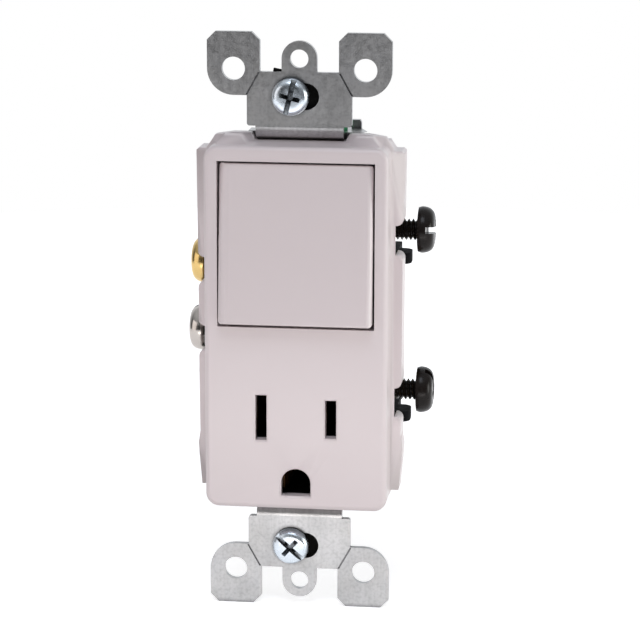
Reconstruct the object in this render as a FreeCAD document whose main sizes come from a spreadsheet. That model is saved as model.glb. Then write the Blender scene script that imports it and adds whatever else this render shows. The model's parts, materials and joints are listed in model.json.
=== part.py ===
"""Rocker switch with a grounded three-pin receptacle below it, on a steel mounting strap.

X points right, Y into the wall and Z up. The origin lies on the back of the strap's plate, the plane
of the wall, halfway between the two box screws. Lengths are millimetres and angles are degrees.
"""
import FreeCAD, Part
import Sketcher
import math
import os

# Driving sizes: name, value, what it measures
SIZES = [
    ("sheet", 1.2, "thickness of the strap's steel sheet"),
    ("box_screw_z", 41.66, "half the spacing of the two box screws"),
    ("cover_screw_z", 48.41, "half the spacing of the two wall plate screw holes"),
    ("strap_end_z", 53.1, "half the length of the strap over its ears"),
    ("ear_outer_x", 16.6, "half the width of the strap over its ears"),
    ("ear_inner_x", 7.1, "inner side of an ear"),
    ("ear_hole_x", 11.86, "ear hole from the middle line"),
    ("ear_hole_z", 46.5, "ear hole from the middle"),
    ("ear_hole_radius", 2.1, "radius of an ear hole"),
    ("ear_round", 4.75, "round of an ear about its hole"),
    ("ear_chamfer", 1.5, "cut corners at the end of an ear"),
    ("score_width", 0.35, "width of the break line of an ear"),
    ("score_depth", 0.3, "depth of the break line of an ear"),
    ("plate_half_width", 9.45, "half the width of the plate that carries a box screw"),
    ("plate_shoulder_z", 46.0, "outer shoulder of that plate"),
    ("plate_foot_z", 36.3, "inner shoulder of that plate, where the neck starts"),
    ("tab_radius", 3.17, "half width and end round of the tab with the wall plate screw hole"),
    ("tab_hole_radius", 1.65, "radius of the wall plate screw hole"),
    ("slot_reach", 3.57, "half the length of the slot of a box screw"),
    ("slot_radius", 2.4, "half the width of that slot"),
    ("neck_half_width", 7.9, "half the width of the neck and of the band's front end"),
    ("band_half_width", 6.4, "half the width of the band behind the grounding lobe"),
    ("bend_inside", 1.2, "inside radius of the strap's bends"),
    ("lobe_reach", 11.9, "reach of the grounding lobe to the right"),
    ("lobe_left_reach", 9.7, "reach of the strap's left shoulder"),
    ("lobe_front", 2.3, "front edge of the grounding lobe"),
    ("lobe_back", 9.0, "back edge of the grounding lobe"),
    ("lug_inner_x", 8.4, "inner side of the wire lug on the lobe"),
    ("lug_outer_x", 10.2, "outer side of the wire lug on the lobe"),
    ("lug_height", 1.5, "height of the wire lug over the lobe"),
    ("face_half_width", 16.6, "half the width of the cover's face"),
    ("face_half_height", 33.3, "half the height of the cover's face"),
    ("face_rise", 6.4, "height of the cover's face over the wall"),
    ("face_corner", 2.4, "corner radius of the face"),
    ("face_edge", 0.95, "edge round of the face"),
    ("face_wall", 2.4, "wall of the face over the contacts"),
    ("boss_rise", 3.5, "height of the corner bosses over the wall"),
    ("boss_top_z", 34.75, "outer end of the corner bosses"),
    ("boss_foot_x", 9.2, "inner foot of a corner boss"),
    ("boss_inner_x", 10.4, "inner end of a boss's top"),
    ("boss_outer_x", 13.4, "outer end of a boss's top"),
    ("boss_slope_z", 31.2, "foot of a boss's outer slope"),
    ("lip_rise", 0.2, "height of the cover's flange over the wall"),
    ("lip_depth", 2.0, "back of the flange's raised lip"),
    ("lip_end_z", 34.9, "outer end of the raised lip"),
    ("lip_half_width", 15.4, "outer end of a raised lip's top"),
    ("lip_inner_x", 8.2, "inner end of a raised lip, beside the strap's neck"),
    ("valley_z", 33.6, "floor of the valley under the strap's neck"),
    ("flange_half_width", 18.8, "half the width over the cover's flange"),
    ("flange_waist", 18.6, "half the width of the flange beside the screws"),
    ("flange_top_z", 31.6, "upper end of the wide flange"),
    ("flange_low_z", 30.7, "lower end of the wide flange, below the middle"),
    ("flange_tail", 18.2, "half the width of the flange at its lower end"),
    ("bulge_z", 22.8, "height of the flange's lower bulge, below the middle"),
    ("skirt_depth", 5.0, "back edge of the cover's skirt"),
    ("skirt_wall", 1.5, "wall of the skirt beside the body"),
    ("notch_half", 2.2, "half the height of a screw notch in the flange"),
    ("notch_below", 3.2, "reach of a right notch below its screw"),
    ("notch_round", 1.2, "round of a screw notch's mouth"),
    ("fit", 0.2, "clearance between the cover and the body"),
    ("pivot_depth", 3.0, "rocker pivot behind the rocker's front"),
    ("rocker_proud", 1.05, "height of the level rocker over the face"),
    ("rocker_tilt", 5.3, "tilt of the rocker each way, in degrees"),
    ("rocker_half_width", 13.85, "half the width of the rocker"),
    ("rocker_half_height", 14.5, "half the height of the rocker"),
    ("rocker_gap", 0.35, "gap round the rocker"),
    ("rocker_skin", 1.6, "front wall of the rocker"),
    ("rocker_wall", 1.1, "side walls of the rocker"),
    ("rocker_reach", 2.8, "back edge of the rocker's side walls behind the pivot"),
    ("rocker_edge", 1.1, "edge round of the rocker"),
    ("opening_top_z", 30.6, "upper edge of the rocker's opening"),
    ("trunnion_radius", 1.2, "radius of the rocker's trunnions"),
    ("trunnion_reach", 15.2, "outer end of a trunnion"),
    ("running_fit", 0.05, "radial clearance of a turning or sliding fit"),
    ("post_radius", 3.0, "outer radius of the rocker's post"),
    ("post_reach", 8.0, "end of the post behind the pivot"),
    ("bore_floor", 1.0, "floor of the post's bore, in front of the pivot"),
    ("plunger_radius", 1.5, "radius of the plunger"),
    ("plunger_back", 4.5, "spring end of the plunger behind the pivot"),
    ("plunger_reach", 12.0, "tip of the plunger behind the pivot"),
    ("plunger_gap", 0.1, "gap from the plunger to the contact arm at the middle"),
    ("spring_radius", 1.1, "mean radius of the plunger's spring"),
    ("spring_wire", 0.3, "wire of the plunger's spring"),
    ("spring_turns", 7, "turns of the plunger's spring"),
    ("spring_slack", 0.3, "stroke left between the spring and the plunger"),
    ("arm_sheet", 1.0, "thickness of the contact arm"),
    ("arm_half_width", 3.0, "half the width of the contact arm"),
    ("arm_long", 8.7, "contact end of the arm from its pivot"),
    ("arm_short", 6.5, "free end of the arm from its pivot"),
    ("arm_tilt", 8.0, "tilt of the contact arm each way, in degrees"),
    ("contact_offset", 7.0, "moving contact from the arm's pivot"),
    ("contact_radius", 1.5, "radius of the moving contact"),
    ("contact_thickness", 0.9, "thickness of the moving contact"),
    ("contact_gap", 0.07, "gap of the closed contacts"),
    ("fulcrum_half", 0.35, "half the thickness of the fulcrum's edge"),
    ("strip", 1.0, "thickness of the brass strips inside"),
    ("strip_back", 12.5, "back face of the brass strips"),
    ("strip_width", 4.0, "width of the brass strips"),
    ("side_plate", 1.2, "thickness of the terminal plates"),
    ("side_plate_x", 16.0, "outer face of the terminal plates"),
    ("side_plate_half", 4.7, "half the height of a terminal plate"),
    ("side_plate_front", 4.2, "front edge of the terminal plates"),
    ("terminal_depth", 8.8, "axis of the terminal screws behind the wall plane"),
    ("terminal_shank", 1.9, "radius of a terminal screw"),
    ("terminal_length", 7.0, "length of a terminal screw under its head"),
    ("terminal_head", 4.3, "radius of a terminal screw's head"),
    ("terminal_head_height", 3.1, "height of a terminal screw's head"),
    ("line_upper_z", 16.3, "upper black screw"),
    ("line_lower_z", -13.75, "lower black screw"),
    ("switch_leg_z", 9.7, "brass screw"),
    ("neutral_z", -3.1, "silver screw"),
    ("line_out_x", 20.7, "bearing face of the two black screws, backed out"),
    ("leg_out_x", 18.1, "bearing face of the brass screw"),
    ("neutral_out_x", 18.6, "bearing face of the silver screw"),
    ("well_half", 5.2, "half the height of a screw well in the body"),
    ("ledge_reach", 19.0, "reach of the ledges below the wells"),
    ("ledge_front", 12.0, "front edge of the ledges"),
    ("ledge_back", 17.6, "back edge of the ledges"),
    ("ledge_round", 1.8, "round of a ledge's outer corners"),
    ("ledge_height", 2.0, "height of a ledge"),
    ("body_back", 24.0, "back face of the body"),
    ("body_half_width", 16.3, "half the width of the body's rear block"),
    ("body_side_z", 29.3, "half the height of the rear block beside the strap's band"),
    ("body_spine", 7.0, "half the width of the body where it carries the band"),
    ("shoulder_depth", 9.0, "back face of the shoulders that the assembly screws bear on"),
    ("shoulder_z", 33.2, "half the height over the shoulders"),
    ("shoulder_x", 14.4, "where the shoulders' slopes start"),
    ("body_half_height", 33.7, "half the height of the body inside the strap"),
    ("body_corner_x", 13.6, "where the rear block's cut corners start"),
    ("body_corner_z", 27.3, "where the rear block's cut corners end"),
    ("chamber_half_width", 8.0, "half the width of the switch chamber"),
    ("chamber_top_z", 27.6, "top of the switch chamber"),
    ("chamber_low_z", 3.4, "bottom of the switch chamber"),
    ("blade_x", 6.35, "blade slots from the middle line"),
    ("blade_z", -16.3, "middle height of the blade slots"),
    ("blade_slot", 2.05, "width of the blade slots"),
    ("neutral_slot_half", 4.2, "half the height of the neutral slot"),
    ("hot_slot_half", 3.55, "half the height of the hot slot"),
    ("ground_hole_radius", 2.7, "half the width of the ground hole"),
    ("ground_round_z", -28.45, "centre of the ground hole's round top"),
    ("ground_flat_z", -30.85, "flat bottom of the ground hole"),
    ("lead_in", 0.35, "chamfer of the slots' edges"),
    ("contact_sheet", 0.5, "sheet of the blade contacts"),
    ("blade_grip", 0.75, "half the gap of a blade contact"),
    ("blade_contact_half", 3.2, "half the height of a blade contact"),
    ("contact_front", 2.9, "front end of the blade contacts, before the wall plane"),
    ("cavity_half", 1.75, "half the width of a blade contact's cavity"),
    ("ground_grip", 2.15, "half the gap of the ground contact"),
    ("ground_sheet", 0.6, "sheet of the ground contact"),
    ("ground_contact_half", 2.2, "half the height of the ground contact"),
    ("ground_contact_back", 22.4, "back face of the ground contact"),
    ("rivet_radius", 1.2, "radius of the ground rivet"),
    ("rivet_head", 2.4, "radius of the ground rivet's outer head"),
    ("corner_screw_x", 12.5, "assembly screws from the middle line"),
    ("corner_screw_z", 31.6, "assembly screws from the middle"),
    ("corner_screw_radius", 0.75, "radius of an assembly screw"),
    ("corner_screw_head", 1.75, "radius of an assembly screw's head"),
    ("corner_screw_length", 12.2, "length of an assembly screw under its head"),
    ("box_screw_x", -1.5, "box screws from the middle line, where they hang in their slots"),
    ("box_screw_radius", 1.7, "radius of a box screw"),
    ("box_screw_neck", 1.35, "radius of a box screw's neck, in its washer"),
    ("box_screw_length", 25.4, "length of a box screw under its head"),
    ("box_screw_head", 3.4, "radius of a box screw's head"),
    ("box_screw_head_height", 2.2, "height of a box screw's head"),
    ("washer_side", 8.3, "height of a retaining washer"),
    ("washer_reach", 5.6, "reach of a retaining washer to the right of its screw"),
    ("washer_sheet", 0.8, "thickness of a retaining washer"),
    ("washer_gap", 0.1, "gap from the strap to a retaining washer"),
    ("ground_screw_x", 3.4, "ground screw from the middle line"),
    ("ground_screw_depth", 5.4, "ground screw behind the wall plane"),
    ("ground_screw_flat", 3.95, "half the width across the flats of the ground screw"),
    ("ground_screw_head", 3.0, "height of the ground screw's head"),
    ("ground_screw_length", 5.2, "length of the ground screw under its head"),
    ("rear_recess", 5.0, "depth of the recesses in the body's back"),
]


class Size:
    """A length or an angle: its value now, and the formula on the sheet that gives it."""

    def __init__(self, value, text):
        self.value = float(value)
        self.text = text

    def __add__(self, other):
        other = as_size(other)
        return Size(self.value + other.value, f"({self.text} + {other.text})")

    def __sub__(self, other):
        other = as_size(other)
        return Size(self.value - other.value, f"({self.text} - {other.text})")

    def __mul__(self, other):
        other = as_size(other)
        return Size(self.value * other.value, f"({self.text} * {other.text})")

    def __truediv__(self, other):
        other = as_size(other)
        return Size(self.value / other.value, f"({self.text} / {other.text})")

    def __neg__(self):
        return Size(-self.value, f"(0 - {self.text})")

    def __radd__(self, other):
        return as_size(other) + self

    def __rsub__(self, other):
        return as_size(other) - self

    def __rmul__(self, other):
        return as_size(other) * self


def as_size(value):
    return value if isinstance(value, Size) else Size(value, repr(float(value)))


def sine(angle):
    return Size(math.sin(math.radians(angle.value)), f"sin({angle.text} * 1 deg)")


def cosine(angle):
    return Size(math.cos(math.radians(angle.value)), f"cos({angle.text} * 1 deg)")


class Sheet:
    """The driving sizes as attributes, each bound to its cell."""

    def __init__(self, doc, rows):
        self.cells = doc.addObject("Spreadsheet::Sheet", "Sizes")
        for row, (name, value, note) in enumerate(rows, start=1):
            self.cells.set(f"A{row}", name)
            self.cells.set(f"B{row}", str(value))
            self.cells.set(f"C{row}", note)
            self.cells.setAlias(f"B{row}", name)
            setattr(self, name, Size(value, f"Sizes.{name}"))


doc = FreeCAD.newDocument("switch_and_socket")
s = Sheet(doc, SIZES)
doc.recompute()

NODES = []


def bind(thing, path, size):
    """Tie one property of an object to its formula on the sheet."""
    thing.setExpression(path, as_size(size).text)


def new_body(name):
    body = doc.addObject("PartDesign::Body", name)
    body.Label = name
    NODES.append(body)
    return body


def place(body, x, y, z, rotation=None):
    """Put a body at a bound position, turned by a fixed rotation."""
    turn = rotation if rotation else FreeCAD.Rotation()
    spot = [as_size(value) for value in (x, y, z)]
    body.Placement = FreeCAD.Placement(FreeCAD.Vector(*[value.value for value in spot]), turn)
    for axis, value in zip("xyz", spot):
        bind(body, f"Placement.Base.{axis}", value)


def tilt_about_x(body, angle):
    """Turn a placed body about X by a bound angle."""
    body.Placement.Rotation = FreeCAD.Rotation(FreeCAD.Vector(1, 0, 0), angle.value)
    bind(body, "Placement.Rotation.Angle", angle)


def sketch_on(body, plane, offset):
    """A sketch on one of the body's own origin planes, moved along the plane's normal."""
    sketch = body.newObject("Sketcher::SketchObject", f"{body.Name}_sketch")
    support = [f for f in body.Origin.OriginFeatures if f.Role == f"{plane}_Plane"][0]
    sketch.AttachmentSupport = [(support, "")]
    sketch.MapMode = "FlatFace"
    offset = as_size(offset)
    sketch.AttachmentOffset = FreeCAD.Placement(FreeCAD.Vector(0, 0, offset.value), FreeCAD.Rotation())
    bind(sketch, "AttachmentOffset.Base.z", offset)
    return sketch


def constrain(sketch, size, *where):
    """Add one dimension to a sketch and bind it."""
    size = as_size(size)
    index = sketch.addConstraint(Sketcher.Constraint(*where, size.value))
    sketch.setExpression(f"Constraints[{index}]", size.text)


def add_outline(sketch, points):
    """A closed outline of straight edges through bound points."""
    corners = [(as_size(u), as_size(v)) for u, v in points]
    first = sketch.GeometryCount
    count = len(corners)
    for index, (u, v) in enumerate(corners):
        next_u, next_v = corners[(index + 1) % count]
        start = FreeCAD.Vector(u.value, v.value, 0)
        end = FreeCAD.Vector(next_u.value, next_v.value, 0)
        sketch.addGeometry(Part.LineSegment(start, end), False)
    for index, (u, v) in enumerate(corners):
        following = first + (index + 1) % count
        sketch.addConstraint(Sketcher.Constraint("Coincident", first + index, 2, following, 1))
        constrain(sketch, u, "DistanceX", -1, 1, first + index, 1)
        constrain(sketch, v, "DistanceY", -1, 1, first + index, 1)


def add_circle(sketch, u, v, radius):
    u, v, radius = as_size(u), as_size(v), as_size(radius)
    centre = FreeCAD.Vector(u.value, v.value, 0)
    index = sketch.addGeometry(Part.Circle(centre, FreeCAD.Vector(0, 0, 1), radius.value), False)
    constrain(sketch, u, "DistanceX", -1, 1, index, 3)
    constrain(sketch, v, "DistanceY", -1, 1, index, 3)
    constrain(sketch, radius, "Radius", index)


def draw(sketch, shapes):
    """Put outlines, lists of points, and circles, each (u, v, radius), on one sketch."""
    for shape in shapes:
        if isinstance(shape, tuple):
            add_circle(sketch, *shape)
        else:
            add_outline(sketch, shape)


def rect(left, right, low, high):
    return [(left, low), (right, low), (right, high), (left, high)]


def mirrored(points):
    """The same outline on the other side of the middle line, still counter-clockwise."""
    return [(-as_size(u), v) for u, v in reversed(points)]


def flipped(points):
    """The same outline below the middle, still counter-clockwise."""
    return [(u, -as_size(v)) for u, v in reversed(points)]


def pad(body, plane, low, high, shapes):
    """Add material between two depths along the plane's own axis."""
    low, high = as_size(low), as_size(high)
    sketch = sketch_on(body, plane, -high if plane == "XZ" else low)
    draw(sketch, shapes)
    feature = body.newObject("PartDesign::Pad", f"{body.Name}_pad")
    feature.Profile = sketch
    feature.Length = high.value - low.value
    bind(feature, "Length", high - low)
    return feature


def pocket(body, plane, low, high, shapes):
    """Take material away between two depths along the plane's own axis."""
    low, high = as_size(low), as_size(high)
    sketch = sketch_on(body, plane, -low if plane == "XZ" else high)
    draw(sketch, shapes)
    feature = body.newObject("PartDesign::Pocket", f"{body.Name}_pocket")
    feature.Profile = sketch
    feature.Length = high.value - low.value
    bind(feature, "Length", high - low)
    return feature


def revolve(body, plane, points):
    """Turn a closed half section about the sketch's upright axis."""
    sketch = sketch_on(body, plane, 0)
    add_outline(sketch, points)
    feature = body.newObject("PartDesign::Revolution", f"{body.Name}_turned")
    feature.Profile = sketch
    feature.ReferenceAxis = (sketch, ["V_Axis"])
    feature.Angle = 360
    return feature


def edge_names(body, test):
    """Names of the edges of the body's tip that pass a test."""
    doc.recompute()
    shape = body.Tip.Shape
    return [f"Edge{index}" for index, edge in enumerate(shape.Edges, start=1) if test(edge)]


def dress(body, kind, size_name, size, names):
    """Round or chamfer the named edges of the body's tip."""
    if not names:
        raise RuntimeError(f"{body.Name}: no edge to finish")
    base = body.Tip
    feature = body.newObject(f"PartDesign::{kind}", f"{body.Name}_{kind.lower()}")
    feature.Base = (base, names)
    setattr(feature, size_name, as_size(size).value)
    bind(feature, size_name, size)
    return feature


def near(a, b):
    return abs(a - b) < 0.01


def through_points(axis, points):
    """A test for straight edges along an axis that pass through given points of the plane across it."""
    across = [index for index in range(3) if index != axis]
    spots = [[as_size(value).value for value in point] for point in points]

    def test(edge):
        ends = [vertex.Point for vertex in edge.Vertexes]
        if len(ends) != 2 or not all(near(ends[0][k], ends[1][k]) for k in across):
            return False
        return any(all(near(ends[0][k], spot[i]) for i, k in enumerate(across)) for spot in spots)

    return test


def round_corners(body, axis, radius, points):
    dress(body, "Fillet", "Radius", radius, edge_names(body, through_points(axis, points)))


def both_sides(u, v):
    """The four points that a point gives on both sides of both middle lines."""
    u, v = as_size(u), as_size(v)
    return [(u, v), (-u, v), (u, -v), (-u, -v)]


# Places that several pieces share
pivot_y = s.pivot_depth - s.face_rise - s.rocker_proud
opening_half = (s.rocker_half_height * cosine(s.rocker_tilt) + s.pivot_depth * sine(s.rocker_tilt)
                + s.rocker_gap)
pivot_z = s.opening_top_z - opening_half
opening_half_width = s.rocker_half_width + s.rocker_gap
arm_y = pivot_y + s.plunger_reach + s.plunger_gap + s.arm_sheet
strip_front = s.strip_back - s.strip
run_outer_z = s.body_half_height + s.sheet
side_plate_inner = s.side_plate_x - s.side_plate
fixed_contact_z = (pivot_z - s.contact_offset * cosine(s.arm_tilt)
                   + s.contact_thickness * sine(s.arm_tilt))
fixed_contact_front = (arm_y + s.contact_thickness * cosine(s.arm_tilt) + s.contact_gap
                       + (s.contact_offset + s.contact_radius) * sine(s.arm_tilt))
skirt_inner = s.flange_half_width - s.skirt_wall
step_half_height = s.opening_top_z - s.fit
pedestal_top = pivot_z - opening_half - 1.7
pedestal_half_width = opening_half_width - s.fit
pedestal_narrow_z = -29.3
pedestal_low = -31.8
tongue_half_width = 8.7

# The four side terminals: side of the body, height, bearing face
RIGHT_WELLS = [s.line_upper_z, s.line_lower_z]
LEFT_WELLS = [s.switch_leg_z, s.neutral_z]


def mounting_strap():
    """One stamped sheet: ears, plates and necks, and the band that is bent round the body."""
    body = new_body("mounting_strap")
    foot = s.plate_foot_z + 1
    band = [
        (-s.sheet, foot), (-s.sheet, s.body_half_height),
        (s.body_back, s.body_half_height), (s.body_back, -s.body_half_height),
        (-s.sheet, -s.body_half_height), (-s.sheet, -foot),
        (0, -foot), (0, -run_outer_z),
        (s.body_back + s.sheet, -run_outer_z), (s.body_back + s.sheet, run_outer_z),
        (0, run_outer_z), (0, foot),
    ]
    pad(body, "YZ", -s.neck_half_width, s.neck_half_width, [band])
    ear_root_z = s.ear_hole_z - s.ear_round
    plate = [
        (-s.plate_half_width, s.plate_foot_z), (s.plate_half_width, s.plate_foot_z),
        (s.plate_half_width, ear_root_z), (s.ear_outer_x, ear_root_z),
        (s.ear_outer_x, s.strap_end_z), (s.ear_inner_x, s.strap_end_z),
        (s.ear_inner_x, s.plate_shoulder_z), (s.tab_radius, s.plate_shoulder_z),
        (s.tab_radius, s.cover_screw_z), (-s.tab_radius, s.cover_screw_z),
        (-s.tab_radius, s.plate_shoulder_z), (-s.ear_inner_x, s.plate_shoulder_z),
        (-s.ear_inner_x, s.strap_end_z), (-s.ear_outer_x, s.strap_end_z),
        (-s.ear_outer_x, ear_root_z), (-s.plate_half_width, ear_root_z),
    ]
    pad(body, "XZ", -s.sheet, 0, [plate, flipped(plate)])
    outside = s.bend_inside + s.sheet
    round_corners(body, 0, s.bend_inside, [(0, run_outer_z), (0, -run_outer_z),
                                           (s.body_back, s.body_half_height),
                                           (s.body_back, -s.body_half_height)])
    round_corners(body, 0, outside, [(-s.sheet, s.body_half_height), (-s.sheet, -s.body_half_height),
                                     (s.body_back + s.sheet, run_outer_z),
                                     (s.body_back + s.sheet, -run_outer_z)])
    pad(body, "XZ", -s.sheet, 0, [(0, s.cover_screw_z, s.tab_radius), (0, -s.cover_screw_z, s.tab_radius)])
    round_corners(body, 1, s.ear_round, both_sides(s.ear_outer_x, ear_root_z))
    ends = both_sides(s.ear_outer_x, s.strap_end_z) + both_sides(s.ear_inner_x, s.strap_end_z)
    dress(body, "Chamfer", "Size", s.ear_chamfer, edge_names(body, through_points(1, ends)))
    round_corners(body, 1, 0.5, both_sides(s.plate_half_width, s.plate_foot_z))
    holes = [(u, v, s.ear_hole_radius) for u, v in both_sides(s.ear_hole_x, s.ear_hole_z)]
    holes += [(0, s.cover_screw_z, s.tab_hole_radius), (0, -s.cover_screw_z, s.tab_hole_radius)]
    pocket(body, "XZ", -s.sheet, 0, holes)
    straight = s.slot_reach - s.slot_radius
    slot = rect(-straight, straight, s.box_screw_z - s.slot_radius, s.box_screw_z + s.slot_radius)
    pocket(body, "XZ", -s.sheet, 0, [slot, flipped(slot)])
    for end in (-straight, straight):
        pocket(body, "XZ", -s.sheet, 0, [(end, s.box_screw_z, s.slot_radius), (end, -s.box_screw_z, s.slot_radius)])
    break_line = [(s.plate_half_width - 0.1, ear_root_z + 0.1),
                  (s.plate_half_width - 0.1 + s.score_width, ear_root_z + 0.1),
                  (s.ear_inner_x + s.score_width, s.plate_shoulder_z - 0.1),
                  (s.ear_inner_x, s.plate_shoulder_z - 0.1)]
    lines = [break_line, mirrored(break_line), flipped(break_line), flipped(mirrored(break_line))]
    pocket(body, "XZ", -s.sheet, s.score_depth - s.sheet, lines)
    beside = [rect(s.band_half_width, s.neck_half_width + 1, s.lobe_back, s.body_back + s.sheet + 1)]
    pocket(body, "XY", -run_outer_z - 1, run_outer_z + 1, beside + [mirrored(beside[0])])
    root = s.neck_half_width - 1
    right = [(root, s.lobe_front), (s.lobe_reach - 0.7, s.lobe_front), (s.lobe_reach, s.lobe_front + 0.8),
             (s.lug_outer_x, s.lobe_back - 1), (s.lug_outer_x, s.lobe_back), (root, s.lobe_back)]
    left = rect(-s.lobe_left_reach, -root, s.lobe_front, s.lobe_back - 3)
    pad(body, "XY", s.body_half_height, run_outer_z, [right, left])
    lug = [(s.lug_inner_x, run_outer_z - 0.2), (s.lug_outer_x, run_outer_z - 0.2),
           (s.lug_outer_x, run_outer_z + s.lug_height - 0.5), (s.lug_outer_x - 0.25, run_outer_z + s.lug_height),
           (s.lug_inner_x, run_outer_z + s.lug_height)]
    pad(body, "XZ", s.lobe_back - s.sheet, s.lobe_back, [lug])
    screw_hole = (s.ground_screw_x, s.ground_screw_depth, s.terminal_shank + s.running_fit)
    pocket(body, "XY", s.body_half_height - 1, run_outer_z + 1, [screw_hole])
    rivet_hole = (0, s.ground_round_z, s.rivet_radius + s.running_fit)
    pocket(body, "XZ", s.body_back - 0.5, s.body_back + s.sheet + 0.5, [rivet_hole])
    return body


def front_cover():
    """White moulded cover: face, corner bosses, flange and skirt, with the rocker's opening."""
    body = new_body("front_cover")
    face = -s.face_rise
    pad(body, "XZ", face, 0, [rect(-s.face_half_width, s.face_half_width,
                                   -s.face_half_height, s.face_half_height)])
    round_corners(body, 1, s.face_corner, both_sides(s.face_half_width, s.face_half_height))
    front = edge_names(body, lambda edge: all(near(v.Point.y, face.value) for v in edge.Vertexes))
    dress(body, "Fillet", "Radius", s.face_edge, front)
    boss = [(s.boss_foot_x, s.valley_z - 1), (s.face_half_width, s.boss_slope_z - 2.5),
            (s.face_half_width, s.boss_slope_z), (s.boss_outer_x, s.boss_top_z),
            (s.boss_inner_x, s.boss_top_z), (s.boss_foot_x, s.valley_z - 0.3)]
    pad(body, "XZ", -s.boss_rise, 0, [boss, mirrored(boss)])
    lip = [(s.lip_inner_x, s.valley_z - 1.5), (s.lip_half_width + 1.4, s.valley_z - 1.5),
           (s.lip_half_width + 1.1, s.valley_z - 1.3), (s.lip_half_width + 0.7, s.valley_z - 0.3),
           (s.lip_half_width, s.lip_end_z - 0.5), (s.boss_outer_x - 1.2, s.lip_end_z),
           (s.lip_inner_x + 0.7, s.lip_end_z), (s.lip_inner_x, s.valley_z)]
    pad(body, "XZ", -s.lip_rise, s.lip_depth, [lip, mirrored(lip)])
    side = [(s.lip_half_width - 0.6, -s.valley_z), (s.face_half_width, -s.flange_low_z - 0.8),
            (s.face_half_width, -s.flange_low_z), (s.flange_tail, -s.flange_low_z),
            (s.flange_half_width - 0.1, -s.bulge_z - 2), (s.flange_half_width, -s.bulge_z),
            (s.flange_waist - 0.1, -s.bulge_z + 2.2), (s.flange_waist, s.line_lower_z + 4),
            (s.flange_waist, s.switch_leg_z - 5), (s.flange_half_width - 0.1, s.line_upper_z + 4),
            (s.flange_half_width, s.flange_top_z), (s.flange_half_width - 0.5, s.flange_top_z + 0.4),
            (s.lip_half_width + 1.6, s.flange_top_z + 0.4), (s.lip_half_width + 0.5, s.valley_z)]
    ring = side + mirrored(side)
    pad(body, "XZ", -s.lip_rise, s.skirt_depth, [ring])
    pocket(body, "XZ", 0, s.skirt_depth, [rect(-skirt_inner, skirt_inner,
                                               -s.opening_top_z, s.opening_top_z)])
    mouths = []
    for sign, wells in ((1, RIGHT_WELLS), (-1, LEFT_WELLS)):
        below = s.notch_below if sign > 0 else s.notch_half
        notches = [rect(sign * skirt_inner, sign * (s.flange_half_width + 1),
                        z - below, z + s.notch_half) for z in wells]
        if sign < 0:
            notches = [[notch[1], notch[0], notch[3], notch[2]] for notch in notches]
        pocket(body, "XZ", -s.lip_rise, s.skirt_depth, notches)
        mouths += [(sign, z.value - below.value) for z in wells]
        mouths += [(sign, z.value + s.notch_half.value) for z in wells]

    def at_mouth(edge):
        ends = [vertex.Point for vertex in edge.Vertexes]
        if len(ends) != 2 or not near(ends[0].x, ends[1].x) or not near(ends[0].z, ends[1].z):
            return False
        outside = abs(ends[0].x) > skirt_inner.value + 0.5
        return outside and any(ends[0].x * sign > 0 and near(ends[0].z, z) for sign, z in mouths)

    dress(body, "Fillet", "Radius", s.notch_round, edge_names(body, at_mouth))
    pocket(body, "XZ", face, 0, [rect(-opening_half_width, opening_half_width,
                                      pivot_z - opening_half, s.opening_top_z)])
    socket = (pivot_y, pivot_z, s.trunnion_radius + s.running_fit)
    socket_end = s.trunnion_reach + s.fit
    pocket(body, "YZ", opening_half_width - 1, socket_end, [socket])
    pocket(body, "YZ", -socket_end, 1 - opening_half_width, [socket])
    hollow_top = pedestal_top + s.fit
    hollow = [(-tongue_half_width - s.fit, pedestal_low - s.fit), (tongue_half_width + s.fit, pedestal_low - s.fit),
              (tongue_half_width + s.fit, pedestal_narrow_z - s.fit),
              (opening_half_width, pedestal_narrow_z - s.fit), (opening_half_width, hollow_top),
              (-opening_half_width, hollow_top), (-opening_half_width, pedestal_narrow_z - s.fit),
              (-tongue_half_width - s.fit, pedestal_narrow_z - s.fit)]
    pocket(body, "XZ", s.face_wall - s.face_rise, 0, [hollow])
    pocket(body, "XZ", 0, s.skirt_depth, [rect(-tongue_half_width - s.fit, tongue_half_width + s.fit,
                                               pedestal_low - s.fit, 1 - s.opening_top_z)])
    screw_room = (s.ground_screw_x, s.ground_screw_depth, s.terminal_shank + s.fit)
    pocket(body, "XY", s.opening_top_z - 1, s.valley_z + 1, [screw_room])
    half_slot = s.blade_slot / 2
    neutral = rect(-s.blade_x - half_slot, -s.blade_x + half_slot,
                   s.blade_z - s.neutral_slot_half, s.blade_z + s.neutral_slot_half)
    hot = rect(s.blade_x - half_slot, s.blade_x + half_slot,
               s.blade_z - s.hot_slot_half, s.blade_z + s.hot_slot_half)
    ground = rect(-s.ground_hole_radius, s.ground_hole_radius, s.ground_flat_z, s.ground_round_z)
    back_of_face = s.face_wall - s.face_rise
    pocket(body, "XZ", face, back_of_face, [neutral, hot, ground])
    pocket(body, "XZ", face, back_of_face, [(0, s.ground_round_z, s.ground_hole_radius)])

    def at_slot(edge):
        box = edge.BoundBox
        inside = abs(box.XMin) < 8 and abs(box.XMax) < 8 and box.ZMax < -10
        return near(box.YMin, face.value) and near(box.YMax, face.value) and inside

    dress(body, "Chamfer", "Size", s.lead_in, edge_names(body, at_slot))
    bores = [(u, v, s.corner_screw_radius + s.running_fit)
             for u, v in both_sides(s.corner_screw_x, s.corner_screw_z)]
    pocket(body, "XZ", s.shoulder_depth - s.corner_screw_length - 0.4, s.skirt_depth, bores)
    return body


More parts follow.
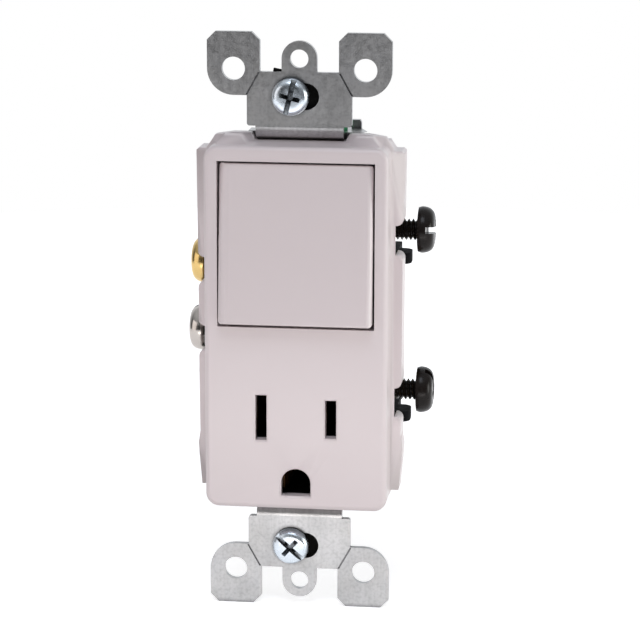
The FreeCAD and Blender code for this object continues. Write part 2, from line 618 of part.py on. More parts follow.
def rear_body():
    """Black moulded body: pedestal behind the face, switch chamber, contact cavities and screw wells."""
    body = new_body("rear_body")
    step = skirt_inner - s.fit
    pad(body, "XZ", 0, s.skirt_depth, [rect(-step, step, -step_half_height, step_half_height)])
    shoulders = [(-s.shoulder_x, -s.shoulder_z), (s.shoulder_x, -s.shoulder_z), (step, -step_half_height),
                 (step, step_half_height), (s.shoulder_x, s.shoulder_z), (-s.shoulder_x, s.shoulder_z),
                 (-step, step_half_height), (-step, -step_half_height)]
    pad(body, "XZ", s.skirt_depth, s.shoulder_depth, [shoulders])
    block = [(-s.body_corner_x, -s.body_side_z), (s.body_corner_x, -s.body_side_z),
             (s.body_half_width, -s.body_corner_z), (s.body_half_width, s.body_corner_z),
             (s.body_corner_x, s.body_side_z), (-s.body_corner_x, s.body_side_z),
             (-s.body_half_width, s.body_corner_z), (-s.body_half_width, -s.body_corner_z)]
    pad(body, "XZ", s.skirt_depth, s.body_back, [block])
    pad(body, "XZ", s.skirt_depth, s.body_back,
        [rect(-s.body_spine, s.body_spine, -s.body_half_height, s.body_half_height)])
    round_corners(body, 0, s.bend_inside, [(s.body_back, s.body_half_height),
                                           (s.body_back, -s.body_half_height)])
    pedestal = [(-tongue_half_width, pedestal_low), (tongue_half_width, pedestal_low),
                (tongue_half_width, pedestal_narrow_z), (pedestal_half_width, pedestal_narrow_z),
                (pedestal_half_width, pedestal_top), (-pedestal_half_width, pedestal_top),
                (-pedestal_half_width, pedestal_narrow_z), (-tongue_half_width, pedestal_narrow_z)]
    pedestal_front = s.face_wall - s.face_rise + s.fit / 2
    pad(body, "XZ", pedestal_front, 0, [pedestal])
    pad(body, "XZ", -0.1, s.skirt_depth, [rect(-tongue_half_width, tongue_half_width, pedestal_low, 1 - s.opening_top_z)])
    sides = [(1, z) for z in RIGHT_WELLS] + [(-1, z) for z in LEFT_WELLS]
    for sign, z in sides:
        near_end, far_end = sign * (side_plate_inner - 1), sign * s.ledge_reach
        left, right = (near_end, far_end) if sign > 0 else (far_end, near_end)
        top = z - s.well_half
        pad(body, "XY", top - s.ledge_height, top, [rect(left, right, s.ledge_front, s.ledge_back)])
    ledge_ends = [(sign * s.ledge_reach, depth) for sign in (1, -1) for depth in (s.ledge_front, s.ledge_back)]
    round_corners(body, 2, s.ledge_round, ledge_ends)
    wells = [rect(side_plate_inner, s.ledge_reach + 1, z - s.well_half, z + s.well_half)
             for z in RIGHT_WELLS]
    wells += [rect(-s.ledge_reach - 1, -side_plate_inner, z - s.well_half, z + s.well_half)
              for z in LEFT_WELLS]
    pocket(body, "XZ", 0, s.body_back, wells)
    chamber = rect(-s.chamber_half_width, s.chamber_half_width, s.chamber_low_z, s.chamber_top_z)
    pocket(body, "XZ", 0, s.strip_back, [chamber])
    cavity_half_z = s.neutral_slot_half + 0.4
    cavities = [rect(sign * s.blade_x - s.cavity_half, sign * s.blade_x + s.cavity_half,
                     s.blade_z - cavity_half_z, s.blade_z + cavity_half_z) for sign in (-1, 1)]
    pocket(body, "XZ", pedestal_front, s.strip_back, cavities)
    ground_half = s.ground_grip + s.ground_sheet + 0.6
    ground = rect(-ground_half, ground_half, s.ground_flat_z - 0.15, s.ground_round_z + s.ground_hole_radius + 0.5)
    pocket(body, "XZ", pedestal_front, s.ground_contact_back, [ground])
    edge_gap = s.fit
    upper_arm = rect(s.chamber_half_width - 0.5, side_plate_inner + 0.5,
                     pivot_z - s.strip_width / 2 - edge_gap, pivot_z + s.strip_width / 2 + edge_gap)
    leg_arm = rect(-side_plate_inner - 0.5, 0.5 - s.chamber_half_width,
                   fixed_contact_z - s.strip_width / 2 - edge_gap, fixed_contact_z + s.strip_width / 2 + edge_gap)
    pocket(body, "XZ", 0, s.strip_back, [upper_arm, leg_arm])
    hot_arm = rect(s.blade_x, side_plate_inner + 0.5,
                   s.blade_z - s.strip_width / 2 - edge_gap, s.blade_z + s.strip_width / 2 + edge_gap)
    neutral_top = s.neutral_z - s.side_plate_half + s.strip_width
    neutral_arm = [(-side_plate_inner - 0.5, neutral_top - s.strip_width - edge_gap),
                   (-s.blade_x - s.cavity_half, neutral_top - s.strip_width - edge_gap),
                   (-s.blade_x - s.cavity_half, s.blade_z), (-s.blade_x + s.cavity_half, s.blade_z),
                   (-s.blade_x + s.cavity_half, neutral_top + edge_gap),
                   (-side_plate_inner - 0.5, neutral_top + edge_gap)]
    pocket(body, "XZ", pedestal_front, s.strip_back, [hot_arm, neutral_arm])
    link = rect(s.terminal_depth - 2, s.terminal_depth + 2, s.line_lower_z, s.line_upper_z)
    pocket(body, "YZ", side_plate_inner, s.ledge_reach + 1, [link])
    tip = s.side_plate_x - s.terminal_length - s.running_fit * 8
    pilot = s.terminal_shank + s.fit
    pocket(body, "YZ", tip, side_plate_inner + 1, [(s.terminal_depth, z, pilot) for z in RIGHT_WELLS])
    pocket(body, "YZ", -side_plate_inner - 1, -tip, [(s.terminal_depth, z, pilot) for z in LEFT_WELLS])
    ground_pilot = (s.ground_screw_x, s.ground_screw_depth, s.terminal_shank + s.fit)
    pocket(body, "XY", run_outer_z - s.ground_screw_length - 0.4, s.body_half_height + 1, [ground_pilot])
    corners = both_sides(s.corner_screw_x, s.corner_screw_z)
    clearance = s.corner_screw_radius + s.fit
    pocket(body, "XZ", s.skirt_depth, s.shoulder_depth, [(u, v, clearance) for u, v in corners])
    pocket(body, "XZ", s.ground_contact_back - 1, s.body_back + 1,
           [(0, s.ground_round_z, s.rivet_radius + s.running_fit)])
    windows = []
    for low, high in ((-27, -15.5), (-13.5, -1.5), (0.5, 12.5), (14.5, 27)):
        windows.append(rect(s.neck_half_width + 1, side_plate_inner - 1.2, low, high))
    pocket(body, "XZ", s.body_back - s.rear_recess, s.body_back, windows + [mirrored(w) for w in windows])
    return body


def rocker():
    """White rocker: a shallow cap with trunnions and the post that carries spring and plunger."""
    body = new_body("rocker")
    outside = rect(-s.rocker_half_width, s.rocker_half_width, -s.rocker_half_height, s.rocker_half_height)
    pad(body, "XZ", -s.pivot_depth, s.rocker_reach, [outside])
    round_corners(body, 1, 0.6, both_sides(s.rocker_half_width, s.rocker_half_height))
    front = edge_names(body, lambda edge: all(near(v.Point.y, -s.pivot_depth.value) for v in edge.Vertexes))
    dress(body, "Fillet", "Radius", s.rocker_edge / 2, front)
    inner_x = s.rocker_half_width - s.rocker_wall
    inner_z = s.rocker_half_height - s.rocker_wall
    skin_back = s.rocker_skin - s.pivot_depth
    pocket(body, "XZ", skin_back, s.rocker_reach, [rect(-inner_x, inner_x, -inner_z, inner_z)])
    pad(body, "XZ", skin_back - 0.2, s.post_reach, [(0, 0, s.post_radius)])
    ribs = [rect(s.post_radius - 0.5, inner_x + 0.2, -0.5, 0.5), rect(-inner_x - 0.2, 0.5 - s.post_radius, -0.5, 0.5)]
    pad(body, "XZ", skin_back - 0.2, s.rocker_reach - 1, ribs)
    pad(body, "YZ", inner_x, s.trunnion_reach, [(0, 0, s.trunnion_radius)])
    pad(body, "YZ", -s.trunnion_reach, -inner_x, [(0, 0, s.trunnion_radius)])
    pocket(body, "XZ", -s.bore_floor, s.post_reach, [(0, 0, s.plunger_radius + s.running_fit)])
    place(body, 0, pivot_y, pivot_z)
    tilt_about_x(body, -s.rocker_tilt)
    return body


def plunger():
    """Nylon plunger in the rocker's post, with a round tip that rides on the contact arm."""
    body = new_body("plunger")
    revolve(body, "XY", [(0, s.plunger_back), (s.plunger_radius, s.plunger_back),
                         (s.plunger_radius, s.plunger_reach), (0, s.plunger_reach)])
    tip = edge_names(body, lambda edge: all(near(v.Point.y, s.plunger_reach.value) for v in edge.Vertexes)
                     and edge.Length > 1)
    dress(body, "Fillet", "Radius", s.plunger_radius - 0.1, tip)
    place(body, 0, pivot_y, pivot_z)
    tilt_about_x(body, -s.rocker_tilt)
    return body


def toggle_spring():
    """Coil spring between the floor of the post's bore and the plunger."""
    body = new_body("toggle_spring")
    sketch = sketch_on(body, "XY", 0)
    half_wire = s.spring_wire / 2
    start = half_wire - s.bore_floor
    add_circle(sketch, s.spring_radius, start, half_wire)
    coil = body.newObject("PartDesign::AdditiveHelix", "toggle_spring_coil")
    coil.Profile = sketch
    coil.ReferenceAxis = (sketch, ["V_Axis"])
    coil.Mode = 0
    height = s.plunger_back + s.bore_floor - s.spring_wire - s.spring_slack
    coil.Pitch = (height / s.spring_turns).value
    coil.Height = height.value
    bind(coil, "Pitch", height / s.spring_turns)
    bind(coil, "Height", height)
    place(body, 0, pivot_y, pivot_z)
    tilt_about_x(body, -s.rocker_tilt)
    return body


def contact_arm():
    """Brass arm that rocks on the fulcrum, with a groove for its edge."""
    body = new_body("contact_arm")
    outside = rect(-s.arm_half_width, s.arm_half_width, -s.arm_long, s.arm_short)
    pad(body, "XZ", -s.arm_sheet, 0, [outside])
    round_corners(body, 1, 1.5, both_sides(s.arm_half_width, s.arm_long)
                  + both_sides(s.arm_half_width, s.arm_short))
    groove = s.fulcrum_half + s.running_fit * 2
    pocket(body, "YZ", -s.arm_half_width - 1, s.arm_half_width + 1, [(0, 0, groove)])
    pocket(body, "XZ", -s.arm_sheet, 0, [(0, -s.contact_offset, s.contact_radius / 2)])
    place(body, 0, arm_y, pivot_z)
    tilt_about_x(body, s.arm_tilt)
    return body


def moving_contact():
    """Silver contact riveted into the arm."""
    body = new_body("moving_contact")
    shank = s.contact_radius / 2
    head = s.contact_radius * 0.75
    revolve(body, "XY", [(0, -s.arm_sheet - 0.4), (head, -s.arm_sheet - 0.4), (head, -s.arm_sheet),
                         (shank, -s.arm_sheet), (shank, 0), (s.contact_radius, 0),
                         (s.contact_radius, s.contact_thickness), (0, s.contact_thickness)])
    place(body, 0, arm_y + s.contact_offset * sine(s.arm_tilt),
          pivot_z - s.contact_offset * cosine(s.arm_tilt))
    tilt_about_x(body, s.arm_tilt)
    return body


def fixed_contact():
    """Silver contact on the switch leg's strip."""
    body = new_body("fixed_contact")
    revolve(body, "XY", [(0, 0), (s.contact_radius + 0.3, 0),
                         (s.contact_radius + 0.3, strip_front - fixed_contact_front),
                         (0, strip_front - fixed_contact_front)])
    place(body, 0, fixed_contact_front, fixed_contact_z)
    return body


def side_plate(body, sign, z):
    """Terminal plate at the side of the body, with the hole of its screw."""
    low, high = side_plate_inner, s.side_plate_x
    if sign < 0:
        low, high = -high, -low
    plate = rect(s.side_plate_front, s.strip_back, z - s.side_plate_half, z + s.side_plate_half)
    pad(body, "YZ", low, high, [plate])


def side_plate_hole(body, sign, z):
    low, high = side_plate_inner - 1, s.side_plate_x + 1
    if sign < 0:
        low, high = -high, -low
    pocket(body, "YZ", low, high, [(s.terminal_depth, z, s.terminal_shank + s.running_fit)])


def line_terminal():
    """Brass strip with both black screws: break-off link, fulcrum of the arm and foot of the hot contact."""
    body = new_body("line_terminal")
    side_plate(body, 1, s.line_upper_z)
    link = rect(s.terminal_depth - 1.8, s.terminal_depth + 1.8,
                s.line_lower_z + s.side_plate_half - 0.5, s.line_upper_z - s.side_plate_half + 0.5)
    pad(body, "YZ", side_plate_inner, s.side_plate_x, [link])
    side_plate(body, 1, s.line_lower_z)
    middle = (s.line_upper_z + s.line_lower_z) / 2
    pocket(body, "YZ", side_plate_inner - 1, s.side_plate_x + 1,
           [rect(s.terminal_depth - 1, s.terminal_depth + 1, middle - 1.5, middle + 1.5)])
    half = s.strip_width / 2
    ear = s.arm_half_width + s.fit
    upper = rect(-ear - s.strip, side_plate_inner + 0.1, pivot_z - half, pivot_z + half)
    lower = rect(s.blade_x - s.blade_grip - s.contact_sheet, side_plate_inner + 0.1,
                 s.blade_z - half, s.blade_z + half)
    pad(body, "XZ", strip_front, s.strip_back, [upper, lower])
    fulcrum = rect(-s.arm_half_width, s.arm_half_width, pivot_z - s.fulcrum_half, pivot_z + s.fulcrum_half)
    pad(body, "XZ", arm_y, strip_front + 0.1, [fulcrum])
    pad(body, "YZ", -s.arm_half_width, s.arm_half_width, [(arm_y, pivot_z, s.fulcrum_half)])
    ears = [rect(ear, ear + s.strip, pivot_z - 1.5, pivot_z + 1.5), rect(-ear - s.strip, -ear, pivot_z - 1.5, pivot_z + 1.5)]
    pad(body, "XZ", arm_y - 1.6, strip_front + 0.1, ears)
    side_plate_hole(body, 1, s.line_upper_z)
    side_plate_hole(body, 1, s.line_lower_z)
    return body


def switch_leg_terminal():
    """Brass terminal of the switched wire, with the strip that carries the fixed contact."""
    body = new_body("switch_leg_terminal")
    side_plate(body, -1, s.switch_leg_z)
    half = s.strip_width / 2
    strip = rect(-side_plate_inner - 0.1, s.contact_radius + 1, fixed_contact_z - half, fixed_contact_z + half)
    pad(body, "XZ", strip_front, s.strip_back, [strip])
    side_plate_hole(body, -1, s.switch_leg_z)
    return body


def neutral_terminal():
    """Silver-plated terminal of the neutral wire, with the strip down to the neutral contact."""
    body = new_body("neutral_terminal")
    side_plate(body, -1, s.neutral_z)
    top = s.neutral_z - s.side_plate_half + s.strip_width
    inner = s.blade_grip + s.contact_sheet
    strip = [(-side_plate_inner - 0.1, top - s.strip_width), (-s.blade_x - inner, top - s.strip_width),
             (-s.blade_x - inner, s.blade_z - s.strip_width / 2),
             (-s.blade_x + inner, s.blade_z - s.strip_width / 2),
             (-s.blade_x + inner, top), (-side_plate_inner - 0.1, top)]
    pad(body, "XZ", strip_front, s.strip_back, [strip])
    side_plate_hole(body, -1, s.neutral_z)
    return body


def clip_section(grip, sheet, front, back, flare):
    """Section of a U-shaped clip, open to the front, with flared mouths."""
    outer = grip + sheet
    right = [(outer, back), (outer, front + 2), (outer + flare, front), (grip + flare, front),
             (grip, front + 2), (grip, back - sheet)]
    return right + mirrored(right)


def blade_contact(name, sign):
    """Bronze clip that grips one blade from both sides."""
    body = new_body(name)
    section = clip_section(s.blade_grip, s.contact_sheet, -s.contact_front, strip_front, 0.3)
    pad(body, "XY", s.blade_z - s.blade_contact_half, s.blade_z + s.blade_contact_half, [section])
    place(body, sign * s.blade_x, 0, 0)
    return body


def ground_contact():
    """Bronze clip that grips the ground pin, riveted to the strap behind the body."""
    body = new_body("ground_contact")
    section = clip_section(s.ground_grip, s.ground_sheet, as_size(-2.4), s.ground_contact_back, 0.35)
    pad(body, "XY", s.ground_round_z - s.ground_contact_half, s.ground_round_z + s.ground_contact_half,
        [section])
    pocket(body, "XZ", s.ground_contact_back - s.ground_sheet - 0.1, s.ground_contact_back + 0.1,
           [(0, s.ground_round_z, s.rivet_radius + s.running_fit)])
    return body


def ground_rivet():
    """Rivet through the ground contact, the body's back wall and the strap."""
    body = new_body("ground_rivet")
    inside = s.ground_contact_back - s.ground_sheet
    outside = s.body_back + s.sheet
    revolve(body, "XY", [(0, inside - 0.6), (s.rivet_head - 0.6, inside - 0.6), (s.rivet_head - 0.6, inside),
                         (s.rivet_radius, inside), (s.rivet_radius, outside), (s.rivet_head, outside),
                         (s.rivet_head - 0.4, outside + 0.8), (0, outside + 0.8)])
    place(body, 0, 0, s.ground_round_z)
    return body


def turned_screw(name, radius, length, head, height, slot, drive, neck=None):
    """A screw on its own Z axis, head up from its bearing face, with a slot and a short cross.

    The neck is the radius and the length of a plain undercut below the head, where there is one.
    """
    body = new_body(name)
    shank = [(0, -length), (radius * 0.7, -length), (radius, 0.6 - length)]
    if neck:
        thin, deep = neck
        shank += [(radius, -deep - 0.3), (thin, -deep), (thin, 0)]
    else:
        shank += [(radius, 0)]
    revolve(body, "XZ", shank + [
        (head * 0.94, 0), (head, height * 0.12), (head, height * 0.42), (head * 0.93, height * 0.64),
        (head * 0.75, height * 0.82), (head * 0.45, height * 0.95), (0, height)])
    reach = head + 0.5
    pocket(body, "XY", height - slot, height + 1, [rect(-reach, reach, -drive / 2, drive / 2)])
    pocket(body, "XY", height - slot, height + 1, [rect(-drive / 2, drive / 2, -head * 0.5, head * 0.5)])
    return body


TO_RIGHT = FreeCAD.Rotation(FreeCAD.Vector(0, 1, 0), 90)
TO_LEFT = FreeCAD.Rotation(FreeCAD.Vector(0, 1, 0), -90)
TO_FRONT = FreeCAD.Rotation(FreeCAD.Vector(1, 0, 0), 90)
TO_BACK = FreeCAD.Rotation(FreeCAD.Vector(1, 0, 0), -90)


def spun(rotation, degrees):
    """A rotation that first turns the piece on its own axis."""
    return rotation.multiply(FreeCAD.Rotation(FreeCAD.Vector(0, 0, 1), degrees))


def terminal_screws():
    """The four side screws: two black ones backed out, brass and silver ones nearly home."""
    for name, sign, z, seat, turn in (("upper_line_screw", 1, s.line_upper_z, s.line_out_x, 82),
                                      ("lower_line_screw", 1, s.line_lower_z, s.line_out_x, 20),
                                      ("switch_leg_screw", -1, s.switch_leg_z, s.leg_out_x, 0),
                                      ("neutral_screw", -1, s.neutral_z, s.neutral_out_x, 0)):
        body = turned_screw(name, s.terminal_shank, s.terminal_length, s.terminal_head,
                            s.terminal_head_height, 1.5, as_size(1.1))
        side = TO_RIGHT if sign > 0 else TO_LEFT
        place(body, sign * seat, s.terminal_depth, z, spun(side, turn))


def box_screws():
    """The two screws that fasten the strap to a wall box, each with its black fibre washer."""
    neck_end = s.sheet + s.washer_gap + s.washer_sheet + 0.2
    for name, sign, turn, washer_turn in (("upper", 1, 76, 11), ("lower", -1, -42, 0)):
        screw = turned_screw(f"{name}_box_screw", s.box_screw_radius, s.box_screw_length, s.box_screw_head,
                             s.box_screw_head_height, 1.3, as_size(1.0), (s.box_screw_neck, neck_end))
        place(screw, s.box_screw_x, -s.sheet, sign * s.box_screw_z, spun(TO_FRONT, turn))
        washer = new_body(f"{name}_retaining_washer")
        half = s.washer_side / 2
        pad(washer, "XY", 0, s.washer_sheet, [rect(-half, s.washer_reach, -half, half),
                                              (0, 0, s.box_screw_neck + s.running_fit)])
        place(washer, s.box_screw_x, s.washer_gap, sign * s.box_screw_z, spun(TO_BACK, washer_turn))


def ground_screw():
    """Green hexagon screw of the ground wire, in the strap's lobe."""
    body = new_body("ground_screw")
    radius = s.terminal_shank
    revolve(body, "XZ", [(0, -s.ground_screw_length), (radius * 0.7, -s.ground_screw_length),
                         (radius, 0.6 - s.ground_screw_length), (radius, 0.1), (0, 0.1)])
    flat = s.ground_screw_flat
    corner = flat / math.cos(math.radians(30))
    hexagon = [(-corner / 2, -flat), (corner / 2, -flat), (corner, 0),
               (corner / 2, flat), (-corner / 2, flat), (-corner, 0)]
    pad(body, "XY", 0, s.ground_screw_head, [hexagon])
    reach = corner + 0.5
    pocket(body, "XY", s.ground_screw_head - 1.2, s.ground_screw_head + 1, [rect(-reach, reach, -0.55, 0.55)])
    place(body, s.ground_screw_x, s.ground_screw_depth, run_outer_z)
    return body


def assembly_screws():
    """Four screws from the back that pull the cover onto the body."""
    corners = {"upper_left": (-1, 1), "upper_right": (1, 1), "lower_left": (-1, -1), "lower_right": (1, -1)}
    for name, (side, end) in corners.items():
        body = turned_screw(f"{name}_assembly_screw", s.corner_screw_radius, s.corner_screw_length,
                            s.corner_screw_head, as_size(1.4), 0.8, as_size(0.6))
        place(body, side * s.corner_screw_x, s.shoulder_depth, end * s.corner_screw_z, TO_BACK)


def check_model():
    """Stop if a feature failed, a pocket cut nothing, or a piece isn't one valid solid."""
    faults = []
    for thing in doc.Objects:
        if "Invalid" in thing.State or "Error" in thing.State:
            faults.append(f"{thing.Name} failed")
        elif thing.isDerivedFrom("PartDesign::Feature") and not thing.isDerivedFrom("PartDesign::FeatureBase"):
            if thing.Shape.isNull() or not thing.Shape.isValid() or len(thing.Shape.Solids) != 1:
                faults.append(f"{thing.Name} isn't one valid solid")
            elif thing.TypeId == "PartDesign::Pocket":
                if thing.Shape.Volume > thing.BaseFeature.Shape.Volume - 1e-4:
                    faults.append(f"{thing.Name} cuts nothing")
    for body in NODES:
        shape = body.Shape
        if shape.isNull() or not shape.isValid() or len(shape.Solids) != 1:
            faults.append(f"{body.Label} isn't one valid solid")
    if faults:
        raise RuntimeError("; ".join(faults))


front_cover()
rocker()
rear_body()
mounting_strap()
plunger()
toggle_spring()
contact_arm()
moving_contact()
fixed_contact()
line_terminal()
switch_leg_terminal()
neutral_terminal()
blade_contact("hot_contact", 1)
blade_contact("neutral_contact", -1)
ground_contact()
ground_rivet()
terminal_screws()
box_screws()
ground_screw()
assembly_screws()
doc.recompute()
check_model()
os.makedirs("parts", exist_ok=True)
for node in NODES:
    node.Shape.exportStep(f"parts/{node.Label}.step")
print(f"{len(NODES)} pieces written")
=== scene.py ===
# %% [markdown]
# # A rocker switch over a receptacle, dressed from its solids
# The real object is a wiring device: a glossy white cover with a rocker above three pin openings, a black
# body behind it, a bent steel strap that carries both, and screws for the wires and the wall box. Its
# solids are already made, each in its place. So this lesson sets up the picture, gives the solids their
# finishes, grows the screws anew with real threads, and reshapes two moulded pieces a little. Lengths are
# metres, and those that are easier to read in millimetres are multiplied by MM. X points right, Y into the
# wall and Z up.

# %% The frame
import json
import math
import bmesh
import bpy
from mathutils import Matrix, Vector

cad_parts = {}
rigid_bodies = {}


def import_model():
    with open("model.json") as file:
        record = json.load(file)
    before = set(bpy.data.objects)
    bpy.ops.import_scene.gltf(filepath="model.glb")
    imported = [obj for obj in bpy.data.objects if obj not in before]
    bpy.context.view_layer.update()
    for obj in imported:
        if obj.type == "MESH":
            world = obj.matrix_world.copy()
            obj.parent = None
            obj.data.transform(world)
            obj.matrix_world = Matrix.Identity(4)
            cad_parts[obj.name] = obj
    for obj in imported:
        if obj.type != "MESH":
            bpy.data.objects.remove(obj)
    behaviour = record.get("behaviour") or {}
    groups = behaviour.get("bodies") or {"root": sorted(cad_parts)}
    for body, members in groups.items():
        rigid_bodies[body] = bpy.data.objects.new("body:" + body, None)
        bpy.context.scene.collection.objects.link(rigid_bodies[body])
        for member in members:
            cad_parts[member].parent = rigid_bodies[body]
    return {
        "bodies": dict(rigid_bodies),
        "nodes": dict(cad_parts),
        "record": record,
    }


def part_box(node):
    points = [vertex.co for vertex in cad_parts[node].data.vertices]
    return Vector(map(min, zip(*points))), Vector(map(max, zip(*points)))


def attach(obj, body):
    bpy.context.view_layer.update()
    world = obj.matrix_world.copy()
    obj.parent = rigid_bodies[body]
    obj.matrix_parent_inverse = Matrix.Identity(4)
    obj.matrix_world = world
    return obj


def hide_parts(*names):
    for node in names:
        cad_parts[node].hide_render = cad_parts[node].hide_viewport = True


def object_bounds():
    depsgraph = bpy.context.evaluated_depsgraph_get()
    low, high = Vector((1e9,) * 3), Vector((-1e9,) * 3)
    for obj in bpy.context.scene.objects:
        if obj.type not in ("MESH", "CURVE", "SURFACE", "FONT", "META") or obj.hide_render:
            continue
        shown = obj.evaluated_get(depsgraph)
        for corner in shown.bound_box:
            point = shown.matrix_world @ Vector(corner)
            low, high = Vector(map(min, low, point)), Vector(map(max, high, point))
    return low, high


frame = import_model()
cad_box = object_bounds()
MM = 0.001

# %% [markdown]
# ## The camera
# A product picture is taken from far away with a long lens, so that the object's sides stay nearly
# parallel. This one stands about half a metre off, a little to the right and above. A Track To constraint
# could aim it, but plain angles can be set against the photograph's outlines and mended by a fraction of
# a degree. A camera looks along its own -Z, so a turn of 90 degrees about X makes it look along +Y, and
# a little less tips it down.

# %% The camera
camera = bpy.data.objects.new("camera", bpy.data.cameras.new("camera"))
camera.data.sensor_width = 36
camera.data.lens = 150.73
camera.location = (0.0625, -0.47134, 0.1060)
camera.rotation_euler = [math.radians(angle) for angle in (77.510, -0.093, 7.138)]
bpy.context.scene.collection.objects.link(camera)
bpy.context.scene.camera = camera
print("lens", camera.data.lens, "mm")

# %% [markdown]
# ## Node trees in a few words
# Every finish below is a tree of nodes. It could be drawn by hand in the Shader Editor. In a script, one
# helper that adds a node, sets its plain inputs and links the rest keeps a tree readable from the first
# texture to the last shader. Object coordinates are metres here, so a noise of scale 2000 has features
# of about half a millimetre.

# %% A helper for nodes
def add(tree, kind, inputs=None, **settings):
    """Add a node, set its properties, then give each named or numbered input a value or a link."""
    node = tree.nodes.new(kind)
    for name, value in settings.items():
        setattr(node, name, value)
    for key, value in (inputs or {}).items():
        if isinstance(value, bpy.types.NodeSocket):
            tree.links.new(value, node.inputs[key])
        else:
            node.inputs[key].default_value = value
    return node


# %% [markdown]
# ## Floor and backdrop
# A white product picture needs a floor that reads as white and still takes a soft shadow, and a backdrop
# of plain white. More light would do it too, but it would burn out the white plastic. So the object is
# lit at a plain level, and only what lies round it turns white, by the kind of ray that meets it: a Light
# Path node tells whether a ray comes from the camera, off a mirror or through glass.

# %% Rays that see white
def is_seen(tree):
    """1 for rays from the camera and for those that a mirror or a glass sends on."""
    path = add(tree, "ShaderNodeLightPath")
    first = add(tree, "ShaderNodeMath", {0: path.outputs["Is Camera Ray"],
                                         1: path.outputs["Is Glossy Ray"]}, operation="MAXIMUM")
    return add(tree, "ShaderNodeMath", {0: first.outputs[0], 1: path.outputs["Is Transmission Ray"]},
               operation="MAXIMUM").outputs[0]


# %% [markdown]
# ### The table
# The floor is a round table that ends 0.42 m off, where its white meets the backdrop's. A plane of four
# points would be simpler, but its corners would show in the polished screws. The table lies a hair below
# the object, so that no two faces share one place.

# %% The table's shape
TABLE_RADIUS = 0.42
TABLE_SIDES = 96
HAIR = 0.00002
floor_z = cad_box[0][2] - HAIR
rim = []
for side in range(TABLE_SIDES):
    turn = math.tau * side / TABLE_SIDES
    rim.append((TABLE_RADIUS * math.cos(turn), TABLE_RADIUS * math.sin(turn), floor_z))
floor_mesh = bpy.data.meshes.new("floor")
floor_mesh.from_pydata(rim, [], [list(range(TABLE_SIDES))])
floor = bpy.data.objects.new("floor", floor_mesh)
bpy.context.scene.collection.objects.link(floor)
print("table of", TABLE_RADIUS, "m at z", round(floor_z, 5))

# %% [markdown]
# ### The table's white
# The table is matt, almost white, with a faint grain. Lit as weakly as the object, it would come out
# grey, so the rays that see it also meet a glow. It is weaker at the object's foot, which leaves the
# shadow its place, and stronger further out. All other rays meet the plain matt surface, so the glow is
# mirrored in gloss but lights nothing.

# %% The table's finish
pale = bpy.data.materials.new("pale_floor")
pale.use_nodes = True
tree = pale.node_tree
tree.nodes.clear()
where = add(tree, "ShaderNodeTexCoord").outputs["Object"]
grain = add(tree, "ShaderNodeTexNoise", {"Vector": where, "Scale": 40.0, "Detail": 3.0})
tone = add(tree, "ShaderNodeMixRGB", {"Fac": grain.outputs[0], "Color1": (0.86, 0.86, 0.87, 1),
                                      "Color2": (0.9, 0.9, 0.9, 1)})
flat = add(tree, "ShaderNodeVectorMath", {0: where, 1: (1.0, 1.0, 0.0)}, operation="MULTIPLY")
reach = add(tree, "ShaderNodeVectorMath", {0: flat.outputs[0]}, operation="LENGTH")
glow = add(tree, "ShaderNodeMapRange", {"Value": reach.outputs["Value"], "From Min": 0.03, "From Max": 0.20,
                                        "To Min": 0.66, "To Max": 0.85})
matt = add(tree, "ShaderNodeBsdfDiffuse", {"Color": tone.outputs[0]})
lift = add(tree, "ShaderNodeEmission", {"Strength": glow.outputs[0]})
both = add(tree, "ShaderNodeAddShader", {0: matt.outputs[0], 1: lift.outputs[0]})
mix = add(tree, "ShaderNodeMixShader", {0: is_seen(tree), 1: matt.outputs[0], 2: both.outputs[0]})
add(tree, "ShaderNodeOutputMaterial", {"Surface": mix.outputs[0]})
floor_mesh.materials.append(pale)
print("table finish:", len(tree.nodes), "nodes")

# %% [markdown]
# ## Three skies in one
# A world can answer each kind of ray in its own way. The camera sees plain white. Every surface gets its
# even base light from a dim, faintly blue sky. What it mirrors is a third one: bright behind the object,
# where the backdrop stands, fairly bright overhead, and dark in front, where the room is. Polished metal
# looks like metal only when it has something dark to mirror. A panorama of a studio would do the same,
# but a few numbers are easier to change. In a world, Generated coordinates are the ray's direction, so Y
# says how far it points to the backdrop, and Z how far up.

# %% What is mirrored
world = bpy.data.worlds.new("studio")
world.use_nodes = True
bpy.context.scene.world = world
tree = world.node_tree
tree.nodes.clear()
way = add(tree, "ShaderNodeSeparateXYZ", {0: add(tree, "ShaderNodeTexCoord").outputs["Generated"]})
room = add(tree, "ShaderNodeMapRange", {"Value": way.outputs["Y"], "From Min": 0.0, "From Max": 0.7,
                                        "To Min": 0.06, "To Max": 1.0})
ceiling = add(tree, "ShaderNodeMapRange", {"Value": way.outputs["Z"], "From Min": 0.2, "From Max": 0.8,
                                           "To Min": 0.0, "To Max": 0.65})
studio = add(tree, "ShaderNodeMath", {0: room.outputs[0], 1: ceiling.outputs[0]}, operation="MAXIMUM")
mirrored = add(tree, "ShaderNodeBackground", {"Color": (0.94, 0.97, 1, 1), "Strength": studio.outputs[0]})

